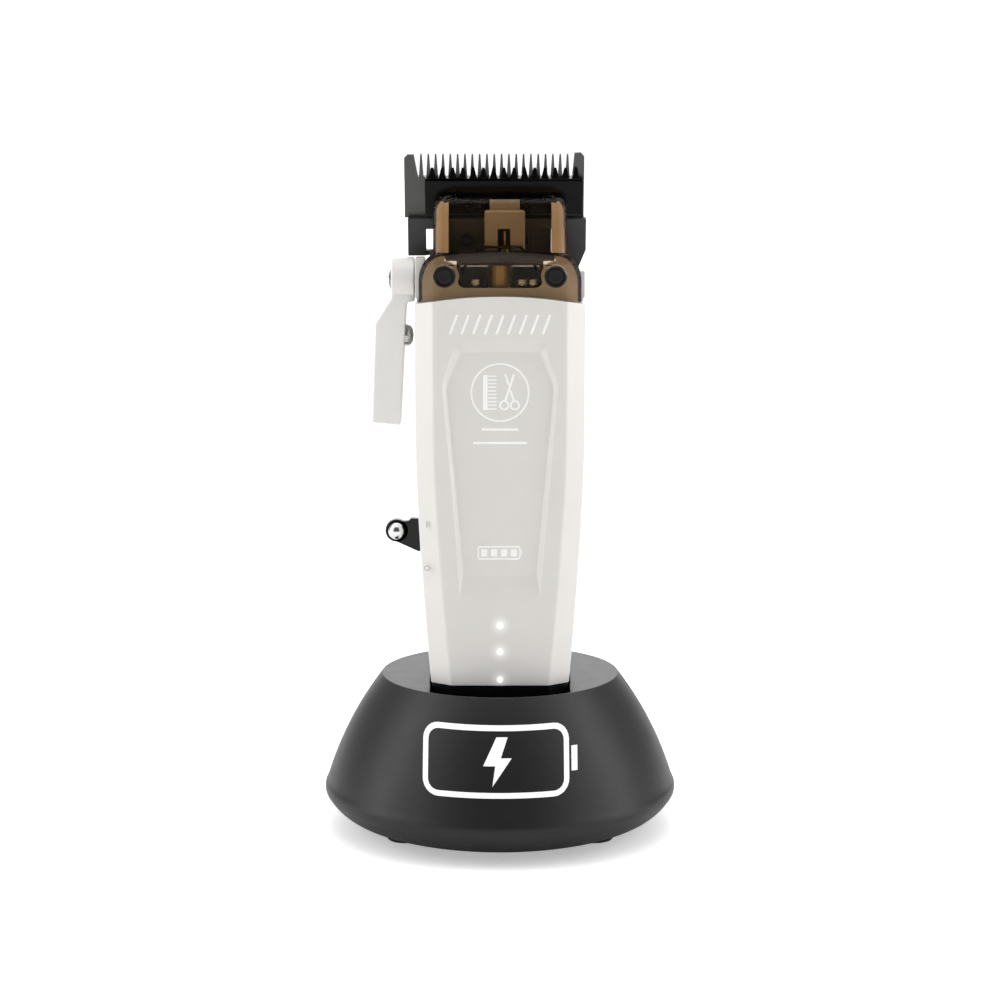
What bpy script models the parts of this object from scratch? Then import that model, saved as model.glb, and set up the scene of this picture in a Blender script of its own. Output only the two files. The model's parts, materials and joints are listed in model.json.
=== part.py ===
"""Cordless hair clipper standing in its round charging stand.

Frame: origin under the middle of the stand on the table, +Z up, the clipper's front faces -Y.
Design lengths are in millimetres and become metres where a mesh is made.
"""

import math

import bmesh
import bpy
from mathutils import Matrix, Vector

MM = 0.001
GAP = 0.3

# Charging stand: a turned body around the Z axis
RIM_R = 31.0
RIM_Z = 40.2
WIDE_R = 46.2
WIDE_Z = 9.8
FOOT_R = 37.0
SHELL_BOTTOM = 2.0
STAND_WALL = 2.6
STAND_STEPS = 48

# Pocket of the stand that the clipper stands in
POCKET_HALF = 18.1
POCKET_BULGE = 0.4
POCKET_BACK = 15.5
POCKET_FRONT = -24.5
POCKET_FLOOR = 16.4
POCKET_LINER_TOP = 36.0
MOUTH_HALF = 17.8

# Clipper body
BODY_BOTTOM = 41.2
BODY_TOP = 139.9
BODY_HALF = 21.45
TAPER_START = 104.0
TAPER_RATE = 0.007644
FACET_DEPTH = 4.0
FRONT_AT_BOTTOM = -22.0
FRONT_AT_TOP = -19.6
SPLIT_FRONT = -2.0
SPLIT_REAR = -1.7
BODY_WALL = 2.0
ARCH_R = 111.0
CAP_BOTTOM = 16.8
CAP_TOP = 40.9
REAR_TOP = 146.6
PANEL_DEPTH = 1.0
LED_HEIGHTS = (42.8, 50.0, 56.8)
SHELL_SCREWS = (58.0, 112.0)

# Drive line: motor, shaft and eccentric share one vertical axis
DRIVE_Y = -7.5
STROKE = 1.2
MOTOR_R = 10.2
MOTOR_LOW = 95.0
MOTOR_HIGH = 122.3

# Screws on the chassis posts, seen through the cover
POST_SCREW_X = (-6.3, 5.6, 8.4)
POST_SCREW_Y = -13.0
POST_TOP = 142.3

# Blade set, drawn in its own leaning frame: local z runs up to the tooth tips, local y to the back
BLADE_X = -1.45
BLADE_Y = -5.0
TIP_Z = 175.0
BLADE_LEAN = math.radians(10.0)
TOOTH_PITCH = 1.857
TOOTH_COUNT = 21
TOOTH_ROOT = -5.8
CUTTER_X = 1.0
CUTTER_HALF = 20.0
CUTTER_PITCH = 2.6
CUTTER_TIP = -3.25
CUTTER_COUNT = 15
BLADE_SCREW_X = 7.0
BLADE_SCREW_Z = -21.5

# Taper lever on the left side, turning about X
LEVER_Y = -8.0
LEVER_Z = 143.6
LEVER_R = 5.7
LEVER_OUT = -27.5
LEVER_IN = -21.7
CAM_RADIUS = 2.38
CAM_ANGLE = math.radians(27.5)
DETENT_Z = 129.5

# Power switch arm, turning about Y
SWITCH_X = -17.5
SWITCH_Y = -10.0
SWITCH_Z = 78.4
BALL_X = -26.5
BALL_Y = -11.9
BALL_Z = 79.5
BALL_R = 2.2
CUP_R = 2.9

# Smoked head cover
COVER_HALF = 20.4
COVER_TOP = 151.5
COVER_WALL = 1.5
WINDOW_HALF = 16.8
WINDOW_TOP = 164.9
WINDOW_BACK = -7.5
WINDOW_ROUND = 3.0
COVER_SCREW_X = 13.9
COVER_SCREW_Z = 144.8

# Charging contacts under the clipper, pins and inlet in the stand
CONTACT_X = 6.0
CONTACT_Y = -4.0
PIN_TOP = 16.6
INLET_Z = 13.9

# Feet and base screws of the stand
FOOT_ANGLES = (37.0, 143.0, 217.0, 323.0)
FOOT_CIRCLE = 30.4
BASE_SCREW_CIRCLE = 21.0


# ---------------------------------------------------------------- materials

def material(name, colour, roughness, metallic=0.0, transmission=0.0, glow=0.0):
    found = bpy.data.materials.get(name)
    if found:
        return found
    made = bpy.data.materials.new(name)
    made.use_nodes = True
    shader = made.node_tree.nodes["Principled BSDF"]
    shader.inputs["Base Color"].default_value = (*colour, 1.0)
    shader.inputs["Roughness"].default_value = roughness
    shader.inputs["Metallic"].default_value = metallic
    shader.inputs["Transmission Weight"].default_value = transmission
    if glow:
        shader.inputs["Emission Color"].default_value = (*colour, 1.0)
        shader.inputs["Emission Strength"].default_value = glow
    return made


def ivory_enamel():
    return material("ivory_enamel", (0.74, 0.71, 0.66), 0.34)


def stand_black():
    return material("stand_black", (0.05, 0.05, 0.052), 0.42)


def dark_plastic():
    return material("dark_plastic", (0.015, 0.015, 0.016), 0.3)


def blade_steel():
    return material("blade_steel", (0.10, 0.10, 0.098), 0.32, 1.0)


def bright_steel():
    return material("bright_steel", (0.72, 0.72, 0.72), 0.2, 1.0)


def chrome():
    return material("chrome", (0.85, 0.85, 0.86), 0.05, 1.0)


def brass():
    return material("brass", (0.75, 0.53, 0.22), 0.25, 1.0)


def smoked_clear():
    return material("smoked_clear", (0.30, 0.21, 0.12), 0.05, 0.0, 0.85)


def rubber():
    return material("rubber", (0.02, 0.02, 0.02), 0.8)


def board_green():
    return material("board_green", (0.02, 0.12, 0.05), 0.45)


def copper():
    return material("copper", (0.72, 0.30, 0.14), 0.35, 1.0)


def copper_brown():
    return material("copper_brown", (0.36, 0.22, 0.12), 0.4)


def battery_wrap():
    return material("battery_wrap", (0.10, 0.22, 0.45), 0.4)


def lens_white():
    return material("lens_white", (1.0, 0.98, 0.95), 0.3, 0.0, 0.0, 3.0)


# ---------------------------------------------------------------- mesh tools

def object_from(name, mesh_data, mat, parent=None):
    """Turns a bmesh drawn in millimetres into an object in metres."""
    bmesh.ops.recalc_face_normals(mesh_data, faces=mesh_data.faces)
    bmesh.ops.scale(mesh_data, vec=(MM, MM, MM), verts=mesh_data.verts)
    mesh = bpy.data.meshes.new(name)
    mesh_data.to_mesh(mesh)
    mesh_data.free()
    made = bpy.data.objects.new(name, mesh)
    bpy.context.scene.collection.objects.link(made)
    if mat:
        mesh.materials.append(mat)
    if parent:
        place_under(made, parent)
    return made


def place_under(made, parent):
    """Parents an object that was drawn in world coordinates, and keeps it where it is."""
    made.parent = parent
    made.matrix_parent_inverse = parent.matrix_world.inverted()


def pivot(name, place, turn=(0.0, 0.0, 0.0), parent=None):
    """An empty on a joint's axis."""
    empty = bpy.data.objects.new(name, None)
    empty.empty_display_size = 5 * MM
    bpy.context.scene.collection.objects.link(empty)
    empty.location = Vector(place) * MM
    empty.rotation_euler = turn
    bpy.context.view_layer.update()
    if parent:
        place_under(empty, parent)
        bpy.context.view_layer.update()
    return empty


def smooth(made, angle=35.0):
    made.data.shade_smooth()
    made.data.set_sharp_from_angle(angle=math.radians(angle))
    return made


def loft(name, rings, mat=None, parent=None):
    """Joins closed rings of equal length by quads and caps both ends."""
    data = bmesh.new()
    rows = [[data.verts.new(point) for point in ring] for ring in rings]
    count = len(rings[0])
    for low, high in zip(rows, rows[1:]):
        for i in range(count):
            j = (i + 1) % count
            data.faces.new((low[i], low[j], high[j], high[i]))
    data.faces.new(rows[0])
    data.faces.new(rows[-1])
    return object_from(name, data, mat, parent)


def along(axis, outline, offset):
    """Puts a flat outline into space, square to an axis, at an offset along it."""
    if axis == "X":
        return [(offset, a, b) for a, b in outline]
    if axis == "Y":
        return [(a, offset, b) for a, b in outline]
    return [(a, b, offset) for a, b in outline]


def prism(name, outline, axis, low, high, mat=None, parent=None):
    return loft(name, [along(axis, outline, low), along(axis, outline, high)], mat, parent)


def box(name, low, high, mat=None, parent=None):
    outline = [(low[0], low[1]), (high[0], low[1]), (high[0], high[1]), (low[0], high[1])]
    return prism(name, outline, "Z", low[2], high[2], mat, parent)


def circle(a, b, radius, steps):
    return [
        (a + radius * math.cos(math.tau * i / steps), b + radius * math.sin(math.tau * i / steps))
        for i in range(steps)
    ]


def rod(name, centre, radius, axis, low, high, mat=None, parent=None, steps=20):
    """A round bar along an axis; centre holds its two other coordinates."""
    made = prism(name, circle(*centre, radius, steps), axis, low, high, mat, parent)
    return smooth(made)


def turned(name, profile, mat=None, parent=None, steps=24, centre=(0.0, 0.0)):
    """Turns a profile of (radius, height) about a vertical axis. It ends on the axis, or closes."""
    data = bmesh.new()
    verts = [data.verts.new((centre[0] + r, centre[1], z)) for r, z in profile]
    edges = [data.edges.new(pair) for pair in zip(verts, verts[1:])]
    if profile[0][0] > 0:
        edges.append(data.edges.new((verts[-1], verts[0])))
    bmesh.ops.spin(
        data, geom=verts + edges, cent=(*centre, 0.0), axis=(0, 0, 1), dvec=(0, 0, 0),
        angle=math.tau, steps=steps, use_merge=True, use_duplicate=False,
    )
    bmesh.ops.remove_doubles(data, verts=data.verts, dist=1e-4)
    return smooth(object_from(name, data, mat, parent))


def sphere(name, centre, radius, columns, rows):
    data = bmesh.new()
    place = Matrix.Translation(centre)
    bmesh.ops.create_uvsphere(data, u_segments=columns, v_segments=rows, radius=radius, matrix=place)
    return object_from(name, data, None)


def arc(start, end, rise, steps):
    """Points of a circular arc from start to end, bulging by rise to the right of the way there."""
    start, end = Vector(start), Vector(end)
    chord = end - start
    half = chord.length / 2
    radius = (half * half + rise * rise) / (2 * rise)
    side = Vector((chord.y, -chord.x)).normalized()
    centre = (start + end) / 2 - side * (radius - rise)
    sweep = 2 * math.asin(half / radius)
    points = []
    for i in range(steps + 1):
        angle = sweep * (i / steps - 0.5)
        along_side = side * math.cos(angle) * radius
        along_chord = chord.normalized() * math.sin(angle) * radius
        points.append(tuple(centre + along_side + along_chord))
    return points


def boolean(made, other, operation="DIFFERENCE"):
    """Cuts or joins by another object, which becomes a hidden helper."""
    step = made.modifiers.new(other.name, "BOOLEAN")
    step.object = other
    step.operation = operation
    step.solver = "EXACT"
    other.hide_render = True
    other.display_type = "WIRE"
    if other.parent is None and made.parent is not None:
        place_under(other, made.parent)
    return made


def rounded(made, width, segments=1, angle=30.0):
    """Bevels the edges sharper than an angle."""
    step = made.modifiers.new("Edges", "BEVEL")
    step.width = width * MM
    step.segments = segments
    step.limit_method = "ANGLE"
    step.angle_limit = math.radians(angle)
    return made


def rounded_rectangle(low, high, radius, steps=4):
    """Corners by arcs, running anticlockwise from the lower right."""
    corners = [(high[0], low[1], -90), (high[0], high[1], 0), (low[0], high[1], 90), (low[0], low[1], 180)]
    points = []
    for x, y, start in corners:
        cx = x - math.copysign(radius, x - (low[0] + high[0]) / 2)
        cy = y - math.copysign(radius, y - (low[1] + high[1]) / 2)
        for i in range(steps + 1):
            turn = math.radians(start + 90 * i / steps)
            points.append((cx + radius * math.cos(turn), cy + radius * math.sin(turn)))
    return points


# ---------------------------------------------------------------- body outlines

def half_width(z):
    return BODY_HALF - TAPER_RATE * max(TAPER_START - z, 0.0) ** 1.5


def facet_inset(z):
    return 4.75 + 0.5 * min(max((100.0 - z) / 59.0, 0.0), 1.0)


def front_y(z):
    run = (z - BODY_BOTTOM) / (BODY_TOP - BODY_BOTTOM)
    return FRONT_AT_BOTTOM + run * (FRONT_AT_TOP - FRONT_AT_BOTTOM)


def back_y(z):
    """The grip swells to z = 90 and slopes forward to the blade above z = 120."""
    if z < 90.0:
        return 16.5 - 3.5 * ((90.0 - z) / 48.8) ** 2
    bend = 0.005455
    rise = min(z - 90.0, 30.0)
    return 16.5 - bend * rise * rise - 2 * bend * 30.0 * max(z - 120.0, 0.0)


def front_outline(z, inset, split):
    """Half of the body's plan from the split line round the front, left to right."""
    side = half_width(z) - inset
    face = half_width(z) - facet_inset(z) - 0.45 * inset
    y = front_y(z) + inset
    corner = front_y(z) + FACET_DEPTH + 0.45 * inset
    return [(-side, split), (-side, corner), (-face, y), (face, y), (side, corner), (side, split)]


def back_outline(z, inset, split):
    """The plan's rear half, right to left, with rounded flanks."""
    side = half_width(z) - inset
    y = back_y(z) - inset
    depth = 0.5 * (y - split)
    reach = 0.85 * depth
    right = []
    for turn in (0.0, 30.0, 60.0, 90.0):
        c, s = math.cos(math.radians(turn)), math.sin(math.radians(turn))
        right.append((side - reach * (1 - c), y - depth + depth * s))
    left = [(-x, y) for x, y in reversed(right)]
    return [(side, split)] + right + left + [(-side, split)]


def shell_loft(name, outline, split, heights, mat):
    """A half shell: its outer outline one way, its inner outline back."""
    rings = []
    for z in heights:
        ring = outline(z, 0.0, split) + outline(z, BODY_WALL, split)[::-1]
        rings.append(along("Z", ring, z))
    return loft(name, rings, mat)


# ---------------------------------------------------------------- clipper housing

def above_arch(name, drop=0.0, low_y=-30.0, high_y=20.0):
    """A cutter for all that lies above the arched joint between body and head cover."""
    half, top = 24.0, 170.0
    crest = BODY_TOP - drop
    rim = crest - half * half / (2 * ARCH_R)
    outline = arc((half, rim), (-half, rim), crest - rim, 12) + [(-half, top), (half, top)]
    return prism(name, outline, "Y", low_y, high_y)


def panel_ring(y_shift, half_top, half_shoulder, half_foot, top, shoulder, foot):
    right = [(half_foot, foot), (half_shoulder, shoulder), (half_top, top)]
    outline = right + [(-x, z) for x, z in reversed(right)]
    return [(x, front_y(z) + y_shift, z) for x, z in outline]


def make_front_shell(clipper):
    heights = [BODY_BOTTOM, 50.0, 60.0, 70.0, 80.0, 91.0, TAPER_START, 141.0]
    shell = shell_loft("front_shell", front_outline, SPLIT_FRONT, heights, ivory_enamel())
    boolean(shell, above_arch("cut_front_arch"))
    rings = [
        panel_ring(-PANEL_DEPTH, 11.9, 15.6, 11.0, 131.2, 118.9, 57.1),
        panel_ring(PANEL_DEPTH, 9.9, 13.6, 9.2, 126.2, 117.5, 69.3),
    ]
    boolean(shell, loft("cut_panel", rings))
    for index, z in enumerate(LED_HEIGHTS):
        boolean(shell, rod(f"cut_led_{index}", (0.0, z), 1.0, "Y", -24.0, -17.0, steps=16))
    boolean(shell, box("cut_switch_slot", (-24.0, -11.9, 73.0), (-17.0, -8.1, 84.2)))
    place_under(shell, clipper)
    return smooth(shell, 15.0)


def make_rear_shell(clipper):
    heights = [BODY_BOTTOM, 54.0, 67.0, 80.0, 92.0, TAPER_START, 113.0, 121.0, 134.0, REAR_TOP]
    shell = shell_loft("rear_shell", back_outline, SPLIT_REAR, heights, ivory_enamel())
    left = [(-13.9, 139.2), (0.5, 139.2), (0.5, 146.3), (-4.6, 146.3), (-4.6, 149.3), (-13.9, 149.3)]
    boolean(shell, prism("join_left_cheek", left, "X", -21.4, -19.0), "UNION")
    right = [(-13.9, 139.2), (0.5, 139.2), (0.5, 144.0), (-4.6, 144.0), (-4.6, 146.0), (-13.9, 146.0)]
    boolean(shell, prism("join_right_cheek", right, "X", 19.0, 21.4), "UNION")
    boolean(shell, box("cut_right_shoulder", (15.5, -4.6, 144.2), (24.0, 10.0, 150.0)))
    boolean(shell, rod("cut_pivot_hole", (LEVER_Y, LEVER_Z), 3.0, "X", -23.0, -17.5))
    for side in (-1, 1):
        centre = (side * COVER_SCREW_X, COVER_SCREW_Z)
        root = back_y(COVER_SCREW_Z) - 0.8
        boolean(shell, rod(f"join_post_{side}", centre, 2.4, "Y", -12.6, root, steps=16), "UNION")
        boolean(shell, rod(f"cut_post_{side}", centre, 1.2, "Y", -14.0, -6.0, steps=12))
    for index, z in enumerate(SHELL_SCREWS):
        back = back_y(z)
        boolean(shell, rod(f"join_boss_{index}", (0.0, z), 3.8, "Y", back - 6.0, back - 0.8), "UNION")
        boolean(shell, rod(f"cut_head_{index}", (0.0, z), 2.7, "Y", back - 3.0, back + 2.0))
        boolean(shell, rod(f"cut_shank_{index}", (0.0, z), 1.5, "Y", back - 8.0, back))
    place_under(shell, clipper)
    return smooth(shell, 25.0)


def make_shell_screws(clipper):
    for name, z in zip(("shell_screw_lower", "shell_screw_upper"), SHELL_SCREWS):
        back = back_y(z)
        screw = rod(name, (0.0, z), 2.4, "Y", back - 2.6, back - 1.0, bright_steel(), clipper)
        shank = rod(f"join_{name}", (0.0, z), 1.2, "Y", back - 9.0, back - 2.0)
        boolean(screw, shank, "UNION")
        boolean(screw, prism(f"cut_{name}", circle(0.0, z, 1.3, 6), "Y", back - 1.8, back))


def cap_outline(z, inset):
    drop = 0.03 * (BODY_BOTTOM - z)
    front = front_outline(BODY_BOTTOM, inset + drop, SPLIT_FRONT)[1:-1]
    back = back_outline(BODY_BOTTOM, inset + drop, SPLIT_FRONT)[1:-1]
    return front + back


def make_end_cap(clipper):
    heights = [CAP_BOTTOM, CAP_BOTTOM + 1.2, CAP_TOP - 0.8, CAP_TOP]
    insets = [1.4, 0.15, 0.15, 0.45]
    rings = [along("Z", cap_outline(z, inset), z) for z, inset in zip(heights, insets)]
    cap = loft("end_cap", rings, dark_plastic())
    hollow = [along("Z", cap_outline(BODY_BOTTOM, 2.4), z) for z in (CAP_BOTTOM + 2.2, CAP_TOP + 2.0)]
    boolean(cap, loft("cut_cap_hollow", hollow))
    for side in (-1, 1):
        hole = rod(f"cut_contact_{side}", (side * CONTACT_X, CONTACT_Y), 2.3, "Z", 14.0, 21.0)
        boolean(cap, hole)
    place_under(cap, clipper)
    return smooth(cap, 15.0)


def make_contacts(clipper):
    for side, name in ((-1, "charge_contact_left"), (1, "charge_contact_right")):
        disc = rod(name, (side * CONTACT_X, CONTACT_Y), 2.0, "Z", CAP_BOTTOM + 0.2, CAP_BOTTOM + 2.0, brass())
        place_under(rounded(disc, 0.2), clipper)


# ---------------------------------------------------------------- head cover

def cover_outline(side_inset, top_inset, corner_x, corner_z, bottom_gap=0.3):
    """The lower cover from the front: arched foot, straight sides, round shoulders and a bowed top."""
    half = COVER_HALF - side_inset
    top = COVER_TOP - top_inset
    shoulder_x = half - corner_x
    shoulder_z = top - 0.7 - corner_z
    foot = BODY_TOP + bottom_gap
    rim = foot - half * half / (2 * ARCH_R)
    points = arc((-half, rim), (half, rim), -(foot - rim), 8)
    for i in range(5):
        turn = math.radians(90 * i / 4)
        points.append((shoulder_x + corner_x * math.cos(turn), shoulder_z + corner_z * math.sin(turn)))
    points += arc((shoulder_x, top - 0.7), (-shoulder_x, top - 0.7), 0.7, 4)[1:-1]
    for i in range(5):
        turn = math.radians(90 + 90 * i / 4)
        points.append((-shoulder_x + corner_x * math.cos(turn), shoulder_z + corner_z * math.sin(turn)))
    return points


def lower_cover(name, wall, back):
    full = cover_outline(wall, wall, 5.5, 7.3, 0.3 + wall)
    face = cover_outline(3.8 + 0.4 * wall, 3.0 + 0.4 * wall, 4.1, 4.6, 0.3 + wall)
    rings = [along("Y", full, back), along("Y", full, -15.9 + 0.4 * wall), along("Y", face, -19.5 + wall)]
    return loft(name, rings)


def window_section(inset, z):
    """Plan of the upper cover: its front leans back as it rises, with broad facets at both edges."""
    half = WINDOW_HALF - inset
    front = -16.8 + 0.25 * (z - 150.5) + min(inset, COVER_WALL)
    right = [(half - 2.4, front), (half, front + 2.2), (half, WINDOW_BACK)]
    return [(-x, y) for x, y in reversed(right)] + right


def upper_cover(name, wall, low, back=0.0):
    corner = WINDOW_ROUND - 0.5 * wall
    foot = WINDOW_TOP - wall - corner
    sections = [(wall, low)]
    for turn in (0.0, 30.0, 60.0, 90.0):
        angle = math.radians(turn)
        sections.append((wall + corner * (1 - math.cos(angle)), foot + corner * math.sin(angle)))
    rings = []
    for inset, z in sections:
        ring = [(x, y + back if y == WINDOW_BACK else y) for x, y in window_section(inset, z)]
        rings.append(along("Z", ring, z))
    return loft(name, rings)


def make_head_cover(clipper):
    cover = lower_cover("head_cover", 0.0, -14.2)
    cover.data.materials.append(smoked_clear())
    boolean(cover, upper_cover("join_window", 0.0, 147.0), "UNION")
    boolean(cover, lower_cover("cut_cover_low", COVER_WALL, -12.0))
    boolean(cover, upper_cover("cut_cover_high", COVER_WALL, 145.0, back=3.0))
    boolean(cover, box("cut_cover_back", (-25.0, -14.2, 130.0), (25.0, -5.0, 149.9)))
    for side in (-1, 1):
        centre = (side * COVER_SCREW_X, COVER_SCREW_Z)
        boolean(cover, rod(f"join_cover_boss_{side}", centre, 3.2, "Y", -18.6, -12.9, steps=16), "UNION")
        boolean(cover, rod(f"cut_cover_sink_{side}", centre, 2.2, "Y", -22.0, -16.9, steps=20))
        boolean(cover, rod(f"cut_cover_hole_{side}", centre, 1.3, "Y", -18.0, -11.0, steps=16))
    place_under(cover, clipper)
    return smooth(cover, 20.0)


def make_cover_screws(clipper):
    for side, name in ((-1, "cover_screw_left"), (1, "cover_screw_right")):
        centre = (side * COVER_SCREW_X, COVER_SCREW_Z)
        screw = rod(name, centre, 1.9, "Y", -18.4, -17.2, dark_plastic(), clipper)
        boolean(screw, rod(f"join_{name}", centre, 0.95, "Y", -17.5, -9.0, steps=12), "UNION")
        boolean(screw, prism(f"cut_{name}", circle(*centre, 1.0, 6), "Y", -19.0, -17.8))


def make_head_frame(clipper):
    """Black frame behind the cover: a plate on two legs, and a visor bar under the cover's upper edge."""
    frame = box("head_frame", (-11.1, -3.9, 139.5), (11.1, -1.9, 146.6), dark_plastic())
    boolean(frame, box("join_visor", (-13.7, -14.0, 148.4), (13.7, -13.4, 150.8)), "UNION")
    boolean(frame, box("join_visor_lip", (-10.2, -14.0, 147.4), (10.2, -13.4, 149.0)), "UNION")
    for side in (-1, 1):
        inner, outer = sorted((side * 10.5, side * 13.5))
        boolean(frame, box(f"join_leg_{side}", (inner, -3.9, 129.5), (outer, -1.9, 141.0)), "UNION")
        inner, outer = sorted((side * 9.95, side * 10.9))
        boolean(frame, box(f"join_strut_{side}", (inner, -13.8, 146.4), (outer, -5.0, 149.2)), "UNION")
        boolean(frame, box(f"join_strut_root_{side}", (inner, -7.0, 144.0), (outer, -2.5, 146.7)), "UNION")
    place_under(frame, clipper)


# ---------------------------------------------------------------- insides of the clipper

def make_chassis(clipper):
    """Two side rails and two cross plates that hold the battery below and the motor above."""
    frame = box("chassis", (-15.6, -13.0, 91.2), (15.6, 5.0, 93.4), dark_plastic())
    top = prism("join_top_plate", rounded_rectangle((-15.6, -15.0), (15.6, 3.0), 4.0), "Z", 127.0, 129.2)
    boolean(frame, top, "UNION")
    for side in (-1, 1):
        inner, outer = sorted((side * 13.9, side * 15.5))
        boolean(frame, box(f"join_rail_{side}", (inner, -6.0, 45.0), (outer, -2.0, 128.5)), "UNION")
    boolean(frame, rod("cut_shaft_hole", (0.0, DRIVE_Y), 4.0, "Z", 120.0, 135.0))
    for index, x in enumerate(POST_SCREW_X, start=1):
        place = (x, POST_SCREW_Y)
        boolean(frame, rod(f"join_screw_post_{index}", place, 1.15, "Z", 128.5, POST_TOP, steps=14), "UNION")
        boolean(frame, rod(f"cut_screw_post_{index}", place, 0.75, "Z", 137.0, 144.0, steps=10))
    place_under(frame, clipper)


def make_post_screws(clipper):
    for index, x in enumerate(POST_SCREW_X, start=1):
        place = (x, POST_SCREW_Y)
        low, high = POST_TOP + GAP, POST_TOP + 1.5
        screw = rod(f"post_screw_{index}", place, 1.1, "Z", low, high, bright_steel(), clipper, 16)
        boolean(screw, rod(f"join_screw_{index}", place, 0.45, "Z", 138.0, POST_TOP + 0.5, steps=10), "UNION")


def make_motor(clipper):
    bore, floor = MOTOR_R - 0.8, MOTOR_LOW + 1.2
    outer_side = [(MOTOR_R, MOTOR_HIGH), (MOTOR_R, MOTOR_LOW), (2.2, MOTOR_LOW)]
    can = outer_side + [(2.2, floor), (bore, floor), (bore, MOTOR_HIGH)]
    axis = (0.0, DRIVE_Y)
    turned("motor_can", can, bright_steel(), clipper, 28, axis)
    stator = [(9.1, 117.0), (9.1, 99.0), (6.4, 99.0), (6.4, 117.0)]
    turned("motor_stator", stator, copper(), clipper, 24, axis)
    cap = [(MOTOR_R, 125.0), (MOTOR_R, MOTOR_HIGH + GAP), (4.3, MOTOR_HIGH + GAP), (4.3, 125.0)]
    turned("motor_cap", cap, dark_plastic(), clipper, 28, axis)
    bearing = [(4.0, 124.8), (4.0, 122.8), (1.8, 122.8), (1.8, 124.8)]
    turned("motor_bearing", bearing, bright_steel(), clipper, 24, axis)


def make_rotor(rotor):
    axis = (0.0, DRIVE_Y)
    magnet = [(5.9, 118.0), (5.9, 98.0), (1.75, 98.0), (1.75, 118.0)]
    turned("motor_rotor", magnet, blade_steel(), rotor, 24, axis)
    rod("motor_shaft", axis, 1.5, "Z", 96.6, 145.0, bright_steel(), rotor, steps=16)
    drum = [(0.0, 149.0), (2.7, 149.0), (3.1, 148.6), (3.1, 139.4), (2.7, 139.0), (0.0, 139.0)]
    hub = turned("eccentric", drum, brass(), rotor, 20, axis)
    boolean(hub, rod("join_crank_pin", (STROKE, DRIVE_Y), 0.9, "Z", 148.0, 155.8, steps=14), "UNION")
    boolean(hub, rod("cut_hub_bore", axis, 1.75, "Z", 136.0, 145.4, steps=16))


def make_power(clipper):
    """Battery, circuit boards, light guides and the switch under the wall."""
    terminal = [(0.0, 89.4), (3.2, 89.4), (3.2, 88.4)]
    can = [(8.4, 88.4), (9.2, 87.6), (9.2, 24.8), (8.4, 24.0), (0.0, 24.0)]
    turned("battery_cell", terminal + can, battery_wrap(), clipper, 24, (0.0, -3.6))
    box("control_board", (-11.0, -16.2, 60.0), (11.0, -14.8, 90.0), board_green(), clipper)
    box("led_board", (-4.0, -18.9, 42.0), (4.0, -17.9, 59.0), board_green(), clipper)
    for index, z in enumerate(LED_HEIGHTS, start=1):
        face = front_y(z)
        rod(f"led_lens_{index}", (0.0, z), 0.8, "Y", face - 0.1, face + 2.7, lens_white(), clipper, steps=14)
    module = box("switch_module", (-16.3, -13.5, 73.5), (-12.9, -6.5, 83.0), dark_plastic(), clipper)
    rounded(module, 0.4)


def make_tension_spring(clipper):
    """Bent wire that leans on the yoke from the front."""
    half, foot, crest, front = 9.4, 145.0, 151.9, -12.7
    right = [
        (half, -4.6, foot), (half, -10.2, foot + 1.0), (half - 1.0, front, foot + 3.0), (5.2, front, crest),
    ]
    points = [(-x, y, z) for x, y, z in right] + right[::-1]
    curve = bpy.data.curves.new("tension_spring", "CURVE")
    curve.dimensions = "3D"
    spline = curve.splines.new("POLY")
    spline.points.add(len(points) - 1)
    for target, point in zip(spline.points, points):
        target.co = (*(Vector(point) * MM), 1.0)
    curve.bevel_depth = 0.4 * MM
    curve.bevel_resolution = 2
    curve.use_fill_caps = True
    curve.materials.append(bright_steel())
    made = bpy.data.objects.new("tension_spring", curve)
    bpy.context.scene.collection.objects.link(made)
    place_under(made, clipper)


# ---------------------------------------------------------------- blade set

def leaning(point):
    """World place of a point of the blade frame."""
    x, y, z = point
    c, s = math.cos(BLADE_LEAN), math.sin(BLADE_LEAN)
    return (BLADE_X + x, BLADE_Y + y * c - z * s, TIP_Z + y * s + z * c)


def leaning_prism(name, outline, back, front, mat=None, thin_above=None, tip_back=0.0, tip_front=0.0):
    """Extrudes an outline through the blade's thickness. Above a height the thickness shrinks to the tips."""
    def depth(z, full, tip):
        if thin_above is None or z <= thin_above:
            return full
        return full + (tip - full) * min((z - thin_above) / -thin_above, 1.0)
    rings = [
        [leaning((x, depth(z, back, tip_back), z)) for x, z in outline],
        [leaning((x, depth(z, front, tip_front), z)) for x, z in outline],
    ]
    return loft(name, rings, mat)


def comb(first, pitch, count, root, tip, root_half, tip_half):
    """The outline of a row of teeth from right to left."""
    points = []
    for i in reversed(range(count)):
        x = first + i * pitch
        points += [(x + root_half, root), (x + tip_half, tip), (x - tip_half, tip), (x - root_half, root)]
    return points


def make_fixed_blade(taper):
    first = -TOOTH_PITCH * (TOOTH_COUNT - 1) / 2
    low, tail = -16.2, -26.0
    right = [(22.8, low), (22.8, -0.6), (21.9, 0.45), (20.3, 0.3), (19.75, TOOTH_ROOT)]
    left = [(-19.4, TOOTH_ROOT), (-20.4, -0.1), (-22.0, -0.1), (-22.85, -1.0), (-22.85, low)]
    teeth = comb(first, TOOTH_PITCH, TOOTH_COUNT, TOOTH_ROOT, 0.0, 0.58, 0.2)
    outline = right + teeth + left + [(-14.5, low), (-14.5, tail), (14.5, tail), (14.5, low)]
    blade = leaning_prism("fixed_blade", outline, 2.4, 0.0, blade_steel(), TOOTH_ROOT, 1.1, 0.0)
    for side in (-1, 1):
        boolean(blade, blade_rod(f"cut_blade_hole_{side}", side * BLADE_SCREW_X, 1.6, -1.0, 4.0))
    place_under(blade, taper)


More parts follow.
